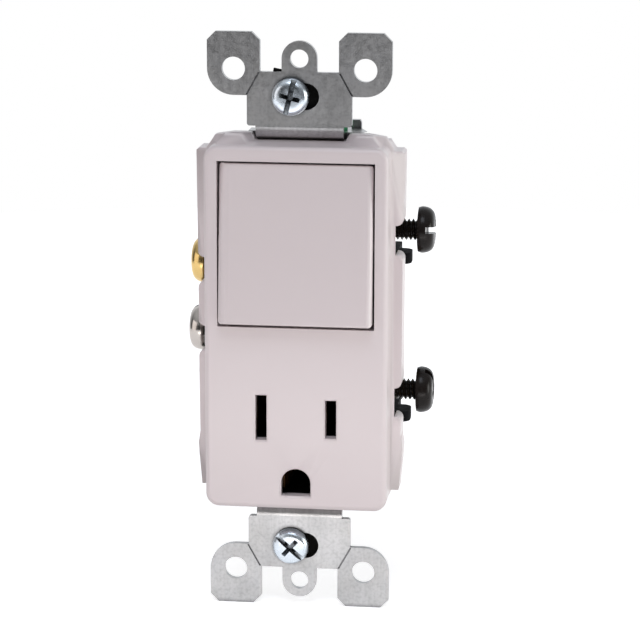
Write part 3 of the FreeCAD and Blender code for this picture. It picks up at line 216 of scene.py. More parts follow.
# %% What gives light, and what the camera sees
height = add(tree, "ShaderNodeMapRange", {"Value": way.outputs["Z"], "From Min": 0.0, "From Max": 0.9,
                                          "To Min": 0.29, "To Max": 0.27})
sky = add(tree, "ShaderNodeBackground", {"Color": (0.96, 0.96, 1.0, 1), "Strength": height.outputs[0]})
white = add(tree, "ShaderNodeBackground", {"Color": (1, 1, 1, 1), "Strength": 1.0})
path = add(tree, "ShaderNodeLightPath")
lit = add(tree, "ShaderNodeMixShader", {0: path.outputs["Is Glossy Ray"], 1: sky.outputs[0],
                                        2: mirrored.outputs[0]})
clear = add(tree, "ShaderNodeMath", {0: path.outputs["Is Camera Ray"],
                                     1: path.outputs["Is Transmission Ray"]}, operation="MAXIMUM")
mix = add(tree, "ShaderNodeMixShader", {0: clear.outputs[0], 1: lit.outputs[0], 2: white.outputs[0]})
add(tree, "ShaderNodeOutputWorld", {"Surface": mix.outputs[0]})
print("world:", len(tree.nodes), "nodes")

# %% [markdown]
# ## Lamps
# The picture's light is soft and nearly even. A sun or a point lamp would draw hard shadows, while those
# of an area lamp grow softer with its size, so all four lamps are areas. The key lamp stands to the left
# and in front, a side lamp lights the right flank, and a cool one hangs in front and above. The fourth is
# a long, low strip close before the object. It stands in for the light that a white table top throws up,
# which leaves the white face a little brighter at the bottom than at the top.

# %% Lamps
def soft_lamp(name, place, size, power, colour):
    """An oblong lamp of a width and a height that looks at the middle of the object."""
    data = bpy.data.lights.new(name, "AREA")
    data.shape = "RECTANGLE"
    data.size, data.size_y = size
    data.energy = power
    data.color = colour
    lamp = bpy.data.objects.new(name, data)
    lamp.location = place
    lamp.rotation_euler = Vector(place).to_track_quat("Z", "Y").to_euler()
    bpy.context.scene.collection.objects.link(lamp)
    print(name, power, "W")


soft_lamp("key_lamp", (-0.80, -0.55, 0.18), (0.7, 0.7), 2.0, (1.0, 0.95, 0.93))
soft_lamp("side_lamp", (1.0, -0.15, 0.10), (0.5, 0.5), 5.0, (0.98, 1.0, 0.96))
soft_lamp("top_lamp", (0.05, -0.44, 0.78), (0.4, 0.4), 2.1, (0.84, 0.90, 1.0))
soft_lamp("strip_lamp", (0.015, -0.105, -0.044), (0.17, 0.012), 0.031, (1.0, 0.95, 0.92))
bpy.context.scene.view_settings.view_transform = "Standard"

# %% [markdown]
# ## Finishes
# A surface of one flat colour looks like a drawing. So each finish starts from one recipe: a slow noise
# drifts the colour between two near tones, a finer one changes the roughness, and the finest is a bump.
# Photographs of surfaces could hold these marks, but noise in Object coordinates needs no unwrapping and
# stays sharp close up.
#
# The recipe can also paint shade into narrow cuts. An Ambient Occlusion node measures how much open air a
# point has within a short reach. Where there is little, a dark shade colour takes over: painted shade, like
# the shade that lies in a real screw's slot. It could be painted into an image instead, but this also finds
# the cuts of a piece that is reshaped later.

# %% The common recipe
FINISHES = {}


def finish(name, tones, rough, bump, scales=(60, 900, 3500), metallic=0.0, specular=0.5,
           recess_shade=None):
    """A finish from two tones, a range of roughness and the height of its grain in metres.

    scales are those of the colour's drift, of the wear and of the grain. The last argument is painted shade
    in cuts: the reach of the search for nearby walls in metres, the openness at which a cut is fully
    darkened, that at which it keeps its colour, and the colour of the painted shade.
    """
    material = bpy.data.materials.new(name)
    material.use_nodes = True
    tree = material.node_tree
    shader = tree.nodes["Principled BSDF"]
    where = add(tree, "ShaderNodeTexCoord").outputs["Object"]
    drift = add(tree, "ShaderNodeTexNoise", {"Vector": where, "Scale": scales[0], "Detail": 3.0})
    colour = add(tree, "ShaderNodeMixRGB", {"Fac": drift.outputs[0], "Color1": (*tones[0], 1),
                                            "Color2": (*tones[1], 1)})
    wear = add(tree, "ShaderNodeTexNoise", {"Vector": where, "Scale": scales[1], "Detail": 2.0})
    gloss = add(tree, "ShaderNodeMapRange", {"Value": wear.outputs[0], "From Min": 0.3, "From Max": 0.7,
                                             "To Min": rough[0], "To Max": rough[1]})
    grain = add(tree, "ShaderNodeTexNoise", {"Vector": where, "Scale": scales[2], "Detail": 2.0})
    height = add(tree, "ShaderNodeBump", {"Height": grain.outputs[0], "Distance": bump, "Strength": 1.0})
    # Painted shade: where a point sees little open air within the reach, its colour turns towards the dark
    # shade colour.
    if recess_shade:
        search, fully_shaded, clean, shade_colour = recess_shade
        air = add(tree, "ShaderNodeAmbientOcclusion", {"Distance": search}, samples=8)
        open_air = add(tree, "ShaderNodeMapRange", {"Value": air.outputs["AO"], "From Min": fully_shaded,
                                                    "From Max": clean})
        colour = add(tree, "ShaderNodeMixRGB", {"Fac": open_air.outputs[0], "Color1": (*shade_colour, 1),
                                                "Color2": colour.outputs[0]})
    tree.links.new(colour.outputs[0], shader.inputs["Base Color"])
    tree.links.new(gloss.outputs[0], shader.inputs["Roughness"])
    tree.links.new(height.outputs[0], shader.inputs["Normal"])
    shader.inputs["Metallic"].default_value = metallic
    shader.inputs["Specular IOR Level"].default_value = specular
    FINISHES[name] = {"material": material, "tree": tree, "shader": shader, "where": where,
                      "colour": colour}
    return FINISHES[name]


# %% [markdown]
# ### Plastics
# The cover and the rocker are moulded from a hard, glossy, faintly pink white. A coat on the shader could
# give the gloss, but it mirrors the strip lamp as an arch across the face, so a low roughness does it
# alone, with a bump that is next to nothing. The recipe's painted shade darkens the gap round the rocker
# and the pin openings. Its range is narrow, so that only their depths turn brown. The body behind is black,
# with a dull, grainy skin. Nylon is for the rocker's plunger, and fibre for the washers behind the strap.

# %% Plastics
# The white's last numbers are painted shade: dark brown in the depths of the rocker's gap and the pin
# openings.
finish("white_plastic", ((0.742, 0.657, 0.658), (0.752, 0.670, 0.673)), (0.28, 0.31), 0.0000003,
       scales=(22, 60, 2600), recess_shade=(0.0016, 0.04, 0.17, (0.05, 0.018, 0.012)))
finish("black_plastic", ((0.004, 0.004, 0.005), (0.008, 0.008, 0.009)), (0.6, 0.8), 0.000006, specular=0.06)
finish("nylon", ((0.62, 0.60, 0.53), (0.68, 0.66, 0.60)), (0.4, 0.5), 0.000004)
finish("fibre", ((0.005, 0.005, 0.005), (0.014, 0.013, 0.012)), (0.8, 0.95), 0.00002,
       scales=(600, 1500, 5000), specular=0.05)
print("plastics:", ", ".join(FINISHES))

# %% [markdown]
# ### Metals
# A metallic shader mirrors the room in its own base colour, so the tones make the metal: zinc is bright
# and a little blue, nickel is warmer, and brass is yellow. They drift over a few millimetres, as plating
# does. Black oxide is nearly a paint, so the black screws aren't metallic, and the lacquer on the green
# one lets the metal through in part. The bright screws share one range for the painted shade in their
# slots, and the contacts and the strap get painted shade in their cuts too.

# %% Metals
# Painted shade in the cuts of the metals: the reach, the range of openness and a dark colour.
SLOT_SHADE = (0.0016, 0.35, 0.85)
SHADE_BROWN = (0.06, 0.045, 0.03)
finish("screw_steel", ((0.58, 0.64, 0.70), (0.72, 0.78, 0.84)), (0.20, 0.36), 0.000006, metallic=1.0,
       scales=(500, 900, 4000), recess_shade=(*SLOT_SHADE, (0.03, 0.032, 0.035)))
finish("black_screw", ((0.004, 0.0035, 0.0035), (0.020, 0.015, 0.013)), (0.16, 0.30), 0.000008,
       scales=(420, 900, 3000), specular=0.16)
finish("brass", ((0.62, 0.42, 0.15), (0.74, 0.54, 0.24)), (0.14, 0.26), 0.000005, metallic=1.0,
       scales=(250, 900, 4000), recess_shade=(*SLOT_SHADE, SHADE_BROWN))
finish("nickel", ((0.44, 0.40, 0.37), (0.56, 0.52, 0.49)), (0.14, 0.26), 0.000005, metallic=1.0,
       scales=(250, 900, 4000), recess_shade=(*SLOT_SHADE, SHADE_BROWN))
finish("green_screw", ((0.012, 0.17, 0.06), (0.03, 0.26, 0.11)), (0.22, 0.36), 0.000006, metallic=0.6,
       scales=(400, 900, 3500))
finish("bronze", ((0.46, 0.24, 0.10), (0.60, 0.33, 0.16)), (0.24, 0.4), 0.000006, metallic=1.0,
       scales=(300, 900, 4000), recess_shade=(0.004, 0.35, 0.85, (0.02, 0.01, 0.005)))
finish("silver", ((0.82, 0.81, 0.79), (0.90, 0.89, 0.87)), (0.12, 0.24), 0.000004, metallic=1.0)
finish("spring_steel", ((0.36, 0.36, 0.38), (0.48, 0.48, 0.5)), (0.2, 0.34), 0.000004, metallic=1.0)
strap = finish("strap_steel", ((0.445, 0.445, 0.455), (0.482, 0.475, 0.466)), (0.28, 0.36), 0.000006,
               metallic=1.0, scales=(160, 1200, 5000), recess_shade=(0.0012, 0.35, 0.85, (0.11, 0.11, 0.115)))
print("finishes:", len(FINISHES))

# %% [markdown]
# ### The strap's own wear
# Galvanised strip isn't even: it has faint lines along the way that it was rolled, dark specks and slow
# stains. Painting them by hand would show a seam at each bend, while noise runs round it. Each layer only
# scales the colour a little, and is turned off by setting its last two numbers to 1. The lines use the
# same noise as the rest, on coordinates that a Mapping node squeezes along Z, which draws the noise out
# that way.

# %% Strap layers
tree, where = strap["tree"], strap["where"]
stretched = add(tree, "ShaderNodeMapping", {"Vector": where, "Scale": (3.0, 1, 0.16)})
LINES = (stretched.outputs[0], 700.0, 4.0, 0.3, 0.7, 0.95, 1.04)
SPECKS = (where, 1800.0, 3.0, 0.45, 0.7, 1.03, 0.86)
STAINS = (where, 110.0, 4.0, 0.35, 0.65, 0.88, 1.08)
layers = []
for vector, scale, detail, low, high, first, last in (LINES, SPECKS, STAINS):
    noise = add(tree, "ShaderNodeTexNoise", {"Vector": vector, "Scale": scale, "Detail": detail})
    layers.append(add(tree, "ShaderNodeMapRange", {"Value": noise.outputs[0], "From Min": low,
                                                   "From Max": high, "To Min": first,
                                                   "To Max": last}).outputs[0])
level = add(tree, "ShaderNodeMath", {0: layers[0], 1: layers[1]}, operation="MULTIPLY")
level = add(tree, "ShaderNodeMath", {0: level.outputs[0], 1: layers[2]}, operation="MULTIPLY")
shaded = add(tree, "ShaderNodeVectorMath", {0: strap["colour"].outputs[0]}, operation="SCALE")
tree.links.new(level.outputs[0], shaded.inputs["Scale"])
tree.links.new(shaded.outputs[0], strap["shader"].inputs["Base Color"])
print("strap layers:", len(layers))

# %% [markdown]
# ## The solids that stay
# Most solids already have the right shape, such as the strap, the body and all that works inside it. They
# only change their material. Each could be dressed in a line of its own, but the record that comes with
# the solids names a slot for each, and the finishes above bear the slots' names, so one loop dresses them
# all and forgets none.

# %% Dress the solids
SLOT_OF = {part["node"]: part["material_slot"] for part in frame["record"]["subparts"]}


def dress(mesh, slot):
    """Give every face of a mesh the finish of a slot."""
    mesh.materials.clear()
    mesh.materials.append(FINISHES[slot]["material"])


def take_place(piece, node):
    """Let a new piece stand in for a solid, and move as that solid moves."""
    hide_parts(node)
    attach(piece, node if node in frame["bodies"] else "device")


for node, slot in SLOT_OF.items():
    dress(frame["nodes"][node].data, slot)
print("dressed", len(SLOT_OF), "solids")

# %% [markdown]
# ## Screws, by Geometry Nodes
# A real machine screw is a rolled thread under a headed end. It could be modelled by hand with the Screw
# modifier, but ten screws of three sizes are one rule with other numbers, and a rule is what Geometry
# Nodes are for. The green ground screw keeps its solid, since only its head shows. The rule is written as
# sums on fields, which hold a value for each point of the mesh. A chain of Math nodes is hard to read, so
# this small class lets them be written like a formula.

# %% Sums on fields
class Rule:
    """A field in a node tree, with + - * / and a few more sums that each add a node."""

    def __init__(self, tree, socket):
        self.tree = tree
        self.socket = socket

    def calc(self, kind, *others):
        """One Math node of a kind, with this field first and the others after it."""
        values = {0: self.socket}
        for index, other in enumerate(others):
            values[index + 1] = other.socket if isinstance(other, Rule) else other
        return Rule(self.tree, add(self.tree, "ShaderNodeMath", values, operation=kind).outputs[0])

    def __add__(self, other):
        return self.calc("ADD", other)

    def __sub__(self, other):
        return self.calc("SUBTRACT", other)

    def __mul__(self, other):
        return self.calc("MULTIPLY", other)

    def __truediv__(self, other):
        return self.calc("DIVIDE", other)

    def ramp(self, low, high, first=0.0, last=1.0):
        """A straight, clamped change from first at low to last at high."""
        values = {"Value": self.socket}
        for key, value in (("From Min", low), ("From Max", high), ("To Min", first), ("To Max", last)):
            values[key] = value.socket if isinstance(value, Rule) else value
        return Rule(self.tree, add(self.tree, "ShaderNodeMapRange", values).outputs[0])


# %% [markdown]
# ### The tree's inputs and its end
# Each size of a screw is an input with a name, so that one tree serves all screws. It could be a bare
# number in the tree, but then each kind of screw would need a tree of its own. At the end, Realize
# Instances makes real geometry of whatever is still an instance, and Set Material paints it.

# %% Inputs and end
SCREW_SIZES = ("Thread Radius", "Root Radius", "Pitch", "Length", "Neck Radius", "Neck Length",
               "Head Radius", "Head Height", "Drive Width", "Slot Depth", "Cross Depth", "Cross Radius")


def new_tree(name, sizes):
    """A Geometry Nodes tree with named lengths, a material input and one geometry output."""
    tree = bpy.data.node_groups.new(name, "GeometryNodeTree")
    tree.interface.new_socket("Geometry", in_out="OUTPUT", socket_type="NodeSocketGeometry")
    for size in sizes:
        tree.interface.new_socket(size, in_out="INPUT", socket_type="NodeSocketFloat")
    tree.interface.new_socket("Rows", in_out="INPUT", socket_type="NodeSocketInt")
    tree.interface.new_socket("Finish", in_out="INPUT", socket_type="NodeSocketMaterial")
    given = tree.nodes.new("NodeGroupInput")
    return tree, given


def end_tree(tree, given, geometry):
    """Close a tree with real geometry and its material."""
    solid = add(tree, "GeometryNodeRealizeInstances", {0: geometry})
    painted = add(tree, "GeometryNodeSetMaterial", {"Geometry": solid.outputs[0],
                                                    "Material": given.outputs["Finish"]})
    add(tree, "NodeGroupOutput", {0: painted.outputs[0]})


screw_tree, given = new_tree("screw", SCREW_SIZES)
size = {name: Rule(screw_tree, given.outputs[name]) for name in SCREW_SIZES}
print("screw inputs:", len(SCREW_SIZES) + 2)

# %% [markdown]
# ### Turned shapes
# Shank and head are both round. A profile curve could be spun into each, but here each starts as a Mesh
# Cylinder of radius 1 with many rows, and Set Position moves every point to a new radius and height. So
# the mesh is closed from the start and has no seam, which the boolean on the head needs.

# %% A turned shape
def turned(tree, cylinder, radius, height):
    """Give a cylinder of radius 1 a new radius and height at each of its points."""
    position = add(tree, "GeometryNodeInputPosition").outputs[0]
    xyz = add(tree, "ShaderNodeSeparateXYZ", {0: position})
    x = Rule(tree, xyz.outputs["X"]) * radius
    y = Rule(tree, xyz.outputs["Y"]) * radius
    new = add(tree, "ShaderNodeCombineXYZ", {"X": x.socket, "Y": y.socket, "Z": height.socket})
    moved = add(tree, "GeometryNodeSetPosition", {"Geometry": cylinder, "Position": new.outputs[0]})
    return moved.outputs[0]


# %% [markdown]
# ### The thread
# A rolled thread is one wave that climbs as it goes round. A ridge swept along a spiral would also do,
# but it would have to be joined to a core, while a wave in the radius is one closed mesh. Height over
# pitch, less the turn, counts the pitches at a point, and its fraction says where in the wave the point
# lies. The distance from the middle of the wave makes a V, and a ramp cuts it flat at crest and root.
# The wave fades out towards the tip, and just under the head it goes over into the neck, which is bare
# on the box screws. Lengths in the tree are metres, and the other numbers are shares of 1.

# %% The shank
AROUND = 40
CREST, ROOT = 0.12, 0.80
RUN_OUT = 0.0003
TIP = 0.0005
TIP_WIDTH = 0.8

rows = add(screw_tree, "GeometryNodeMeshCylinder", {
    "Vertices": AROUND, "Side Segments": given.outputs["Rows"], "Radius": 1.0, "Depth": 1.0},
    fill_type="TRIANGLE_FAN")
position = add(screw_tree, "GeometryNodeInputPosition").outputs[0]
xyz = add(screw_tree, "ShaderNodeSeparateXYZ", {0: position})
z = (Rule(screw_tree, xyz.outputs["Z"]) - 0.5) * size["Length"]
angle = Rule(screw_tree, xyz.outputs["Y"]).calc("ARCTAN2", Rule(screw_tree, xyz.outputs["X"]))
phase = (z / size["Pitch"] - angle / (2 * math.pi)).calc("FRACT")
wave = (phase * 2.0 - 1.0).calc("ABSOLUTE").ramp(CREST, ROOT, 1.0, 0.0)
from_tip = z + size["Length"]
wave = wave * from_tip.ramp(0.0, size["Pitch"])
thread = size["Root Radius"] + (size["Thread Radius"] - size["Root Radius"]) * wave
below_neck = (z * -1.0).ramp(size["Neck Length"], size["Neck Length"] + RUN_OUT)
shank = size["Neck Radius"] + (thread - size["Neck Radius"]) * below_neck
shank = shank * from_tip.ramp(0.0, TIP, TIP_WIDTH, 1.0)
thread_geometry = turned(screw_tree, rows.outputs["Mesh"], shank, z)
print("shank:", AROUND, "points round")

# %% [markdown]
# ### The head
# A pan head is a dome with full shoulders and a flattish top. A squashed ball comes near it, but looks
# swollen. Over a quarter turn the width of a ball falls like a cosine and its height rises like a sine,
# and powers below 1 push both outwards, from a ball to a cushion. At the foot the width draws in a
# little, which gives the thin dark line where a head meets its seat.

# %% The head
HEAD_AROUND = 64
HEAD_ROWS = 24
SHOULDER = 0.38
CUSHION = 0.78
FOOT, FOOT_WIDTH = 0.22, 0.95

dome = add(screw_tree, "GeometryNodeMeshCylinder", {
    "Vertices": HEAD_AROUND, "Side Segments": HEAD_ROWS, "Radius": 1.0, "Depth": 1.0},
    fill_type="TRIANGLE_FAN")
rise = Rule(screw_tree, xyz.outputs["Z"]) + 0.5
quarter = rise * (math.pi / 2)
across = quarter.calc("COSINE").calc("MAXIMUM", 0.0).calc("POWER", SHOULDER)
up = quarter.calc("SINE").calc("MAXIMUM", 0.0).calc("POWER", CUSHION)
across = across * up.ramp(0.0, FOOT, FOOT_WIDTH, 1.0)
head_geometry = turned(screw_tree, dome.outputs["Mesh"], across * size["Head Radius"],
                       up * size["Head Height"])
head_geometry = add(screw_tree, "GeometryNodeMergeByDistance", {"Geometry": head_geometry,
                                                                "Distance": 0.000002}).outputs[0]
print("head:", HEAD_AROUND, "points round,", HEAD_ROWS, "rows")

# %% [markdown]
# ### The slot and the cross
# These heads take two drivers: a straight slot runs right across, and a short cross narrows to a point
# below it. They could be drawn into the dome's grid, but then its rows would have to follow them, so both
# are cut out with Mesh Boolean, as a punch would stamp them. The slot is one bar. The cross is two bars
# joined, of which only what lies inside a cone is kept. The numbers are shares of the screw's own sizes.

# %% Cutters
def bar(length, width, depth):
    """A cutter: a bar across the top of the head, sunk to a depth below it."""
    box = add(screw_tree, "ShaderNodeCombineXYZ", {"X": length.socket, "Y": width.socket,
                                                   "Z": (depth * 2.0).socket})
    cube = add(screw_tree, "GeometryNodeMeshCube", {"Size": box.outputs[0]})
    place = add(screw_tree, "ShaderNodeCombineXYZ", {"Z": size["Head Height"].socket})
    return add(screw_tree, "GeometryNodeTransform", {"Geometry": cube.outputs["Mesh"],
                                                     "Translation": place.outputs[0]}).outputs[0]


def boolean(kind, first, others):
    """Mesh Boolean of the first geometry with the others. Only a difference has an input for the first."""
    node = screw_tree.nodes.new("GeometryNodeMeshBoolean")
    node.operation = kind
    node.solver = "EXACT"
    if kind == "DIFFERENCE":
        screw_tree.links.new(first, node.inputs["Mesh 1"])
    for other in others if kind == "DIFFERENCE" else [first, *others]:
        screw_tree.links.new(other, node.inputs["Mesh 2"])
    return node.outputs["Mesh"]


# %% Cut the drive and close the tree
SLOT_REACH = 3.0
CROSS_BAR = 0.85
CROSS_SINK = 1.2
CONE_TOP, CONE_TIP = 1.5, 0.35
slot_cut = bar(size["Head Radius"] * SLOT_REACH, size["Drive Width"], size["Slot Depth"])
wide = size["Cross Radius"] * 2.0
cross = boolean("UNION", bar(wide, size["Drive Width"] * CROSS_BAR, size["Cross Depth"] * CROSS_SINK),
                [bar(size["Drive Width"] * CROSS_BAR, wide, size["Cross Depth"] * CROSS_SINK)])
cone = add(screw_tree, "GeometryNodeMeshCone", {
    "Vertices": 32, "Radius Top": (size["Cross Radius"] * CONE_TOP).socket,
    "Radius Bottom": (size["Cross Radius"] * CONE_TIP).socket, "Depth": (size["Cross Depth"] * 2.0).socket})
sink = add(screw_tree, "ShaderNodeCombineXYZ", {
    "Z": (size["Head Height"] - size["Cross Depth"]).socket})
cone = add(screw_tree, "GeometryNodeTransform", {"Geometry": cone.outputs["Mesh"],
                                                 "Translation": sink.outputs[0]})
cross = boolean("INTERSECT", cross, [cone.outputs[0]])
cut_head = boolean("DIFFERENCE", head_geometry, [slot_cut, cross])
joined = add(screw_tree, "GeometryNodeJoinGeometry", {0: thread_geometry})
screw_tree.links.new(cut_head, joined.inputs[0])
end_tree(screw_tree, given, joined.outputs[0])
print("screw tree:", len(screw_tree.nodes), "nodes")

# %% [markdown]
# ### From tree to piece
# A modifier runs the tree on an empty mesh. It could stay live, but a posed or exported piece is safer as
# a plain mesh. So its inputs are set by the identifier of each socket before the object is first
# evaluated, the result is read back, and only that mesh is kept. The place goes into the mesh too, so
# that the piece itself stays at the origin, and its noise doesn't slide on it.

# %% From tree to piece
def grow(name, tree, values, matrix, sharp=35):
    """Run a tree with its values and return the result as a plain piece, moved into place."""
    seed = bpy.data.objects.new(name + "_seed", bpy.data.meshes.new(name + "_seed"))
    bpy.context.scene.collection.objects.link(seed)
    modifier = seed.modifiers.new("nodes", "NODES")
    modifier.node_group = tree
    for item in tree.interface.items_tree:
        if item.item_type == "SOCKET" and item.in_out == "INPUT":
            modifier[item.identifier] = values[item.name]
    seed.update_tag()
    depsgraph = bpy.context.evaluated_depsgraph_get()
    mesh = bpy.data.meshes.new_from_object(seed.evaluated_get(depsgraph))
    bpy.data.objects.remove(seed)
    mesh.transform(matrix)
    mesh.shade_smooth()
    mesh.set_sharp_from_angle(angle=math.radians(sharp))
    piece = bpy.data.objects.new(name, mesh)
    bpy.context.scene.collection.objects.link(piece)
    print(name, len(mesh.polygons), "faces")
    return piece


# %% [markdown]
# ### Where a screw stands
# The tree grows a screw upright, with its bearing face at the origin and its head above. In the device it
# has to stand where its solid stands: on the middle line of the solid's box, and one shank's length from
# the box's inner end. Its place could be typed in, but read from the solid it can't go stale. A quarter
# turn lays the screw down, and a spin about its own axis sets the slot's angle.

# %% A screw's place
QUARTER = math.radians(90)
TURN_TO = {(1, 0, 0): Matrix.Rotation(QUARTER, 4, "Y"),
           (-1, 0, 0): Matrix.Rotation(-QUARTER, 4, "Y"),
           (0, -1, 0): Matrix.Rotation(QUARTER, 4, "X"),
           (0, 1, 0): Matrix.Rotation(-QUARTER, 4, "X")}


def seat_matrix(node, outwards, spin, length):
    """Where a screw stands: on its solid's middle line, with its bearing face under the head."""
    low, high = (Vector(corner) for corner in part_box(node))
    place = (low + high) / 2
    along = max(range(3), key=lambda index: abs(outwards[index]))
    place[along] = low[along] + length if outwards[along] > 0 else high[along] - length
    return Matrix.Translation(place) @ TURN_TO[outwards] @ Matrix.Rotation(math.radians(spin), 4, "Z")


# %% [markdown]
# ### The screws of this device
# The four terminal screws at the sides are 4 mm screws with a wide head, for a wire to bend round. The two
# box screws are longer and thinner, and a fibre washer on their plain neck keeps them in the strap. Four
# tiny ones come from behind and hold the cover on. All sizes are millimetres, and Rows is a count that
# gives each pitch six to nine rows of points.

# %% Sizes of the screws
TERMINAL = {"Thread Radius": 1.98, "Root Radius": 1.50, "Pitch": 0.794, "Length": 7.0, "Neck Radius": 1.7,
            "Neck Length": 0.0, "Head Radius": 4.3, "Head Height": 3.04, "Drive Width": 1.15,
            "Slot Depth": 1.5, "Cross Depth": 2.1, "Cross Radius": 2.1, "Rows": 80}
BOX = {"Thread Radius": 1.74, "Root Radius": 1.30, "Pitch": 0.794, "Length": 25.4, "Neck Radius": 1.35,
       "Neck Length": 2.0, "Head Radius": 3.4, "Head Height": 2.2, "Drive Width": 0.95,
       "Slot Depth": 1.0, "Cross Depth": 1.9, "Cross Radius": 2.1, "Rows": 260}
ASSEMBLY = {"Thread Radius": 0.78, "Root Radius": 0.58, "Pitch": 0.6, "Length": 12.2, "Neck Radius": 0.75,
            "Neck Length": 0.0, "Head Radius": 1.75, "Head Height": 1.4, "Drive Width": 0.5,
            "Slot Depth": 0.1, "Cross Depth": 0.9, "Cross Radius": 1.1, "Rows": 120}

# %% Screws in their places
RIGHT, LEFT, FRONT, BACK = (1, 0, 0), (-1, 0, 0), (0, -1, 0), (0, 1, 0)
SCREWS = [
    ("upper_line_screw", TERMINAL, RIGHT, 82),
    ("lower_line_screw", TERMINAL, RIGHT, 20),
    ("switch_leg_screw", TERMINAL, LEFT, 0),
    ("neutral_screw", TERMINAL, LEFT, 0),
    ("upper_box_screw", BOX, FRONT, 76),
    ("lower_box_screw", BOX, FRONT, -42),
    ("upper_left_assembly_screw", ASSEMBLY, BACK, 15),
    ("upper_right_assembly_screw", ASSEMBLY, BACK, 60),
    ("lower_left_assembly_screw", ASSEMBLY, BACK, 35),
    ("lower_right_assembly_screw", ASSEMBLY, BACK, 80),
]
for node, sizes, outwards, spin in SCREWS:
    values = {name: value if name == "Rows" else value * MM for name, value in sizes.items()}
    values["Finish"] = FINISHES[SLOT_OF[node]]["material"]
    place = seat_matrix(node, outwards, spin, values["Length"])
    piece = grow(node + "_threaded", screw_tree, values, place)
    take_place(piece, node)

# %% [markdown]
# ## Two moulded pieces, reshaped a little
# Two shapes of the plastic are finer than their solids: the crown of the rocker, and the straight lower
# edge of the ground opening. Either could be pushed into shape point by point, but a boolean with a
# block gives clean edges and can be measured. So a profile is drawn out into a block, and the block is
# joined with a copy of the solid or crossed with it. Booleans want closed meshes, so the copy first
# merges the points that lie in one place.

# %% A closed copy
SAME_PLACE = 0.000001


def solid_copy(node, name):
    """A closed copy of a solid's mesh, as a new object."""
    work = bmesh.new()
    work.from_mesh(frame["nodes"][node].data)
    bmesh.ops.remove_doubles(work, verts=work.verts, dist=SAME_PLACE)
    mesh = bpy.data.meshes.new(name)
    work.to_mesh(mesh)
    work.free()
    piece = bpy.data.objects.new(name, mesh)
    bpy.context.scene.collection.objects.link(piece)
    return piece


# %% A block
def drawn_out(name, profile, length, place):
    """A block from a closed profile of points in mm, drawn out to both sides along its own Z."""
    work = bmesh.new()
    base = work.faces.new([work.verts.new((x * MM, y * MM, -length / 2 * MM)) for x, y in profile])
    drawn = bmesh.ops.extrude_face_region(work, geom=[base])
    far = [item for item in drawn["geom"] if isinstance(item, bmesh.types.BMVert)]
    bmesh.ops.translate(work, verts=far, vec=(0, 0, length * MM))
    bmesh.ops.recalc_face_normals(work, faces=work.faces)
    work.transform(place)
    mesh = bpy.data.meshes.new(name)
    work.to_mesh(mesh)
    work.free()
    block = bpy.data.objects.new(name, mesh)
    bpy.context.scene.collection.objects.link(block)
    return block


# %% A boolean
def combine(piece, operation, block):
    """Apply a boolean with the block, which is then deleted."""
    cut = piece.modifiers.new("combine", "BOOLEAN")
    cut.operation = operation
    cut.solver = "EXACT"
    cut.object = block
    piece.update_tag()
    depsgraph = bpy.context.evaluated_depsgraph_get()
    shaped = bpy.data.meshes.new_from_object(piece.evaluated_get(depsgraph))
    piece.modifiers.remove(cut)
    piece.data = shaped
    bpy.data.objects.remove(block)
    print(piece.name, operation.lower(), len(shaped.polygons), "faces")


# %% [markdown]
# ### Shading a moulded piece
# A moulded piece has soft rounds and truly flat faces. Smooth shading with sharp edges above 32 degrees
# gives the rounds. It also bends the light on a flat face next to a round, and a Weighted Normal modifier
# mends that by letting the larger face decide.

# %% Shade, dress and place
FIRM_EDGE = math.radians(32)


def moulded(piece, node):
    """Round shading with firm edges and even flats, the white finish, and the solid's place."""
    dress(piece.data, SLOT_OF[node])
    piece.data.shade_smooth()
    piece.data.set_sharp_from_angle(angle=FIRM_EDGE)
    even = piece.modifiers.new("even", "WEIGHTED_NORMAL")
    even.keep_sharp = True
    take_place(piece, node)


# %% [markdown]
# ### The rocker's crown
# The rocker's face isn't a plain slab: towards its sides it falls away in a shallow curve that starts at
# a faint line. A bevel modifier rounds edges, but always evenly on both sides. So the profile is a curve
# of its own on each side, which leaves the face at the line and bends towards the side. The solid keeps
# only what lies inside the block. Behind the face the block is wider than the rocker, so that its
# trunnions stay whole. At rest the rocker is tipped, so the block is made level and then turned about the
# rocker's hinge.

# %% The crown's profile
ROCKER_FACE = -3.0
LEFT_LINE, RIGHT_LINE = -11.95, 12.85
SIDE = 13.9
BLOCK_SIDE, BLOCK_BACK, BLOCK_HEIGHT = 16.0, 14.0, 32
CURVE_STEPS = 12
BEND = 0.72


def crown(line, side, fall, depth):
    """Points of one side's curve in mm: from the faint line, over a fall, to a depth at the side."""
    corners = ((line, ROCKER_FACE),
               (line + (side - line) * BEND, ROCKER_FACE + fall),
               (side, ROCKER_FACE + depth))
    points = []
    for step in range(CURVE_STEPS + 1):
        t = step / CURVE_STEPS
        weights = ((1 - t) ** 2, 2 * t * (1 - t), t ** 2)
        points.append([sum(weight * corner[axis] for weight, corner in zip(weights, corners))
                       for axis in (0, 1)])
    return points


left = crown(LEFT_LINE, -SIDE, fall=0.32, depth=1.15)
right = crown(RIGHT_LINE, SIDE, fall=0.10, depth=0.85)
behind = [(BLOCK_SIDE, right[-1][1]), (BLOCK_SIDE, BLOCK_BACK),
          (-BLOCK_SIDE, BLOCK_BACK), (-BLOCK_SIDE, left[-1][1])]
crown_profile = right + behind + left[::-1]
print("crown profile:", len(crown_profile), "points")

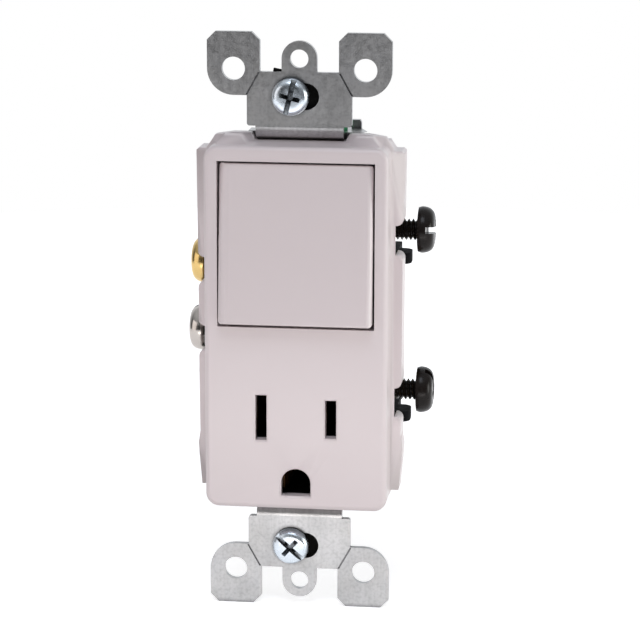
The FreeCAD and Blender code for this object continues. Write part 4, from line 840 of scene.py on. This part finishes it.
# %% The rocker
HINGE = Vector((0.0, -4.45, 15.535)) * MM
TILT = math.radians(-5.3)
tipped = Matrix.Translation(HINGE) @ Matrix.Rotation(TILT, 4, "X")
rocker = solid_copy("rocker", "rocker_crowned")
combine(rocker, "INTERSECT", drawn_out("crown_block", crown_profile, BLOCK_HEIGHT, tipped))
moulded(rocker, "rocker")

# %% [markdown]
# ### The faint line
# The line is an edge of about ten degrees, far below the 32 of the shading, so smooth shading would wash
# it out. Its edges are marked as sharp one by one. They are easy to find once the rocker is turned back
# to level: both ends of such an edge lie in the face, and on one of the two lines.

# %% Mark the faint line
LEEWAY = 0.01
untipped = tipped.inverted()
sharp_edges = 0
for edge in rocker.data.edges:
    ends = [untipped @ rocker.data.vertices[index].co / MM for index in edge.vertices]
    in_face = all(abs(end.y - ROCKER_FACE) < LEEWAY for end in ends)
    on_line = all(min(abs(end.x - LEFT_LINE), abs(end.x - RIGHT_LINE)) < LEEWAY for end in ends)
    if in_face and on_line:
        edge.use_edge_sharp = True
        sharp_edges += 1
print(sharp_edges, "sharp edges at the faint line")

# %% [markdown]
# ### The cover's ground opening
# The opening is round above and straight below, and its straight edge has a small bevel that catches the
# light. The solid has a shallow hollow there, where its round bore dips below the edge, and a block fills
# it. Moving the hollow's points up would do too, but they are shared with the bore's wall. The block's
# profile is the edge seen from the side, from the face back through the wall, so its two numbers are a
# depth and a height. The matrix turns them to Y and Z, and what was drawn out comes to lie along X.

# %% The cover
COVER_FACE = -6.4
WALL_BACK = -4.0
BEVEL = 0.35
GROUND_EDGE = -30.85
EDGE_FOOT = GROUND_EDGE - 0.8
EDGE_WIDTH = 3.2
edge_profile = [(COVER_FACE, GROUND_EDGE - BEVEL), (COVER_FACE + BEVEL, GROUND_EDGE),
                (WALL_BACK, GROUND_EDGE), (WALL_BACK, EDGE_FOOT), (COVER_FACE, EDGE_FOOT)]
upright = Matrix(((0, 0, 1, 0), (1, 0, 0, 0), (0, 1, 0, 0), (0, 0, 0, 1)))
cover = solid_copy("front_cover", "cover_moulded")
combine(cover, "UNION", drawn_out("edge_block", edge_profile, EDGE_WIDTH, upright))
moulded(cover, "front_cover")
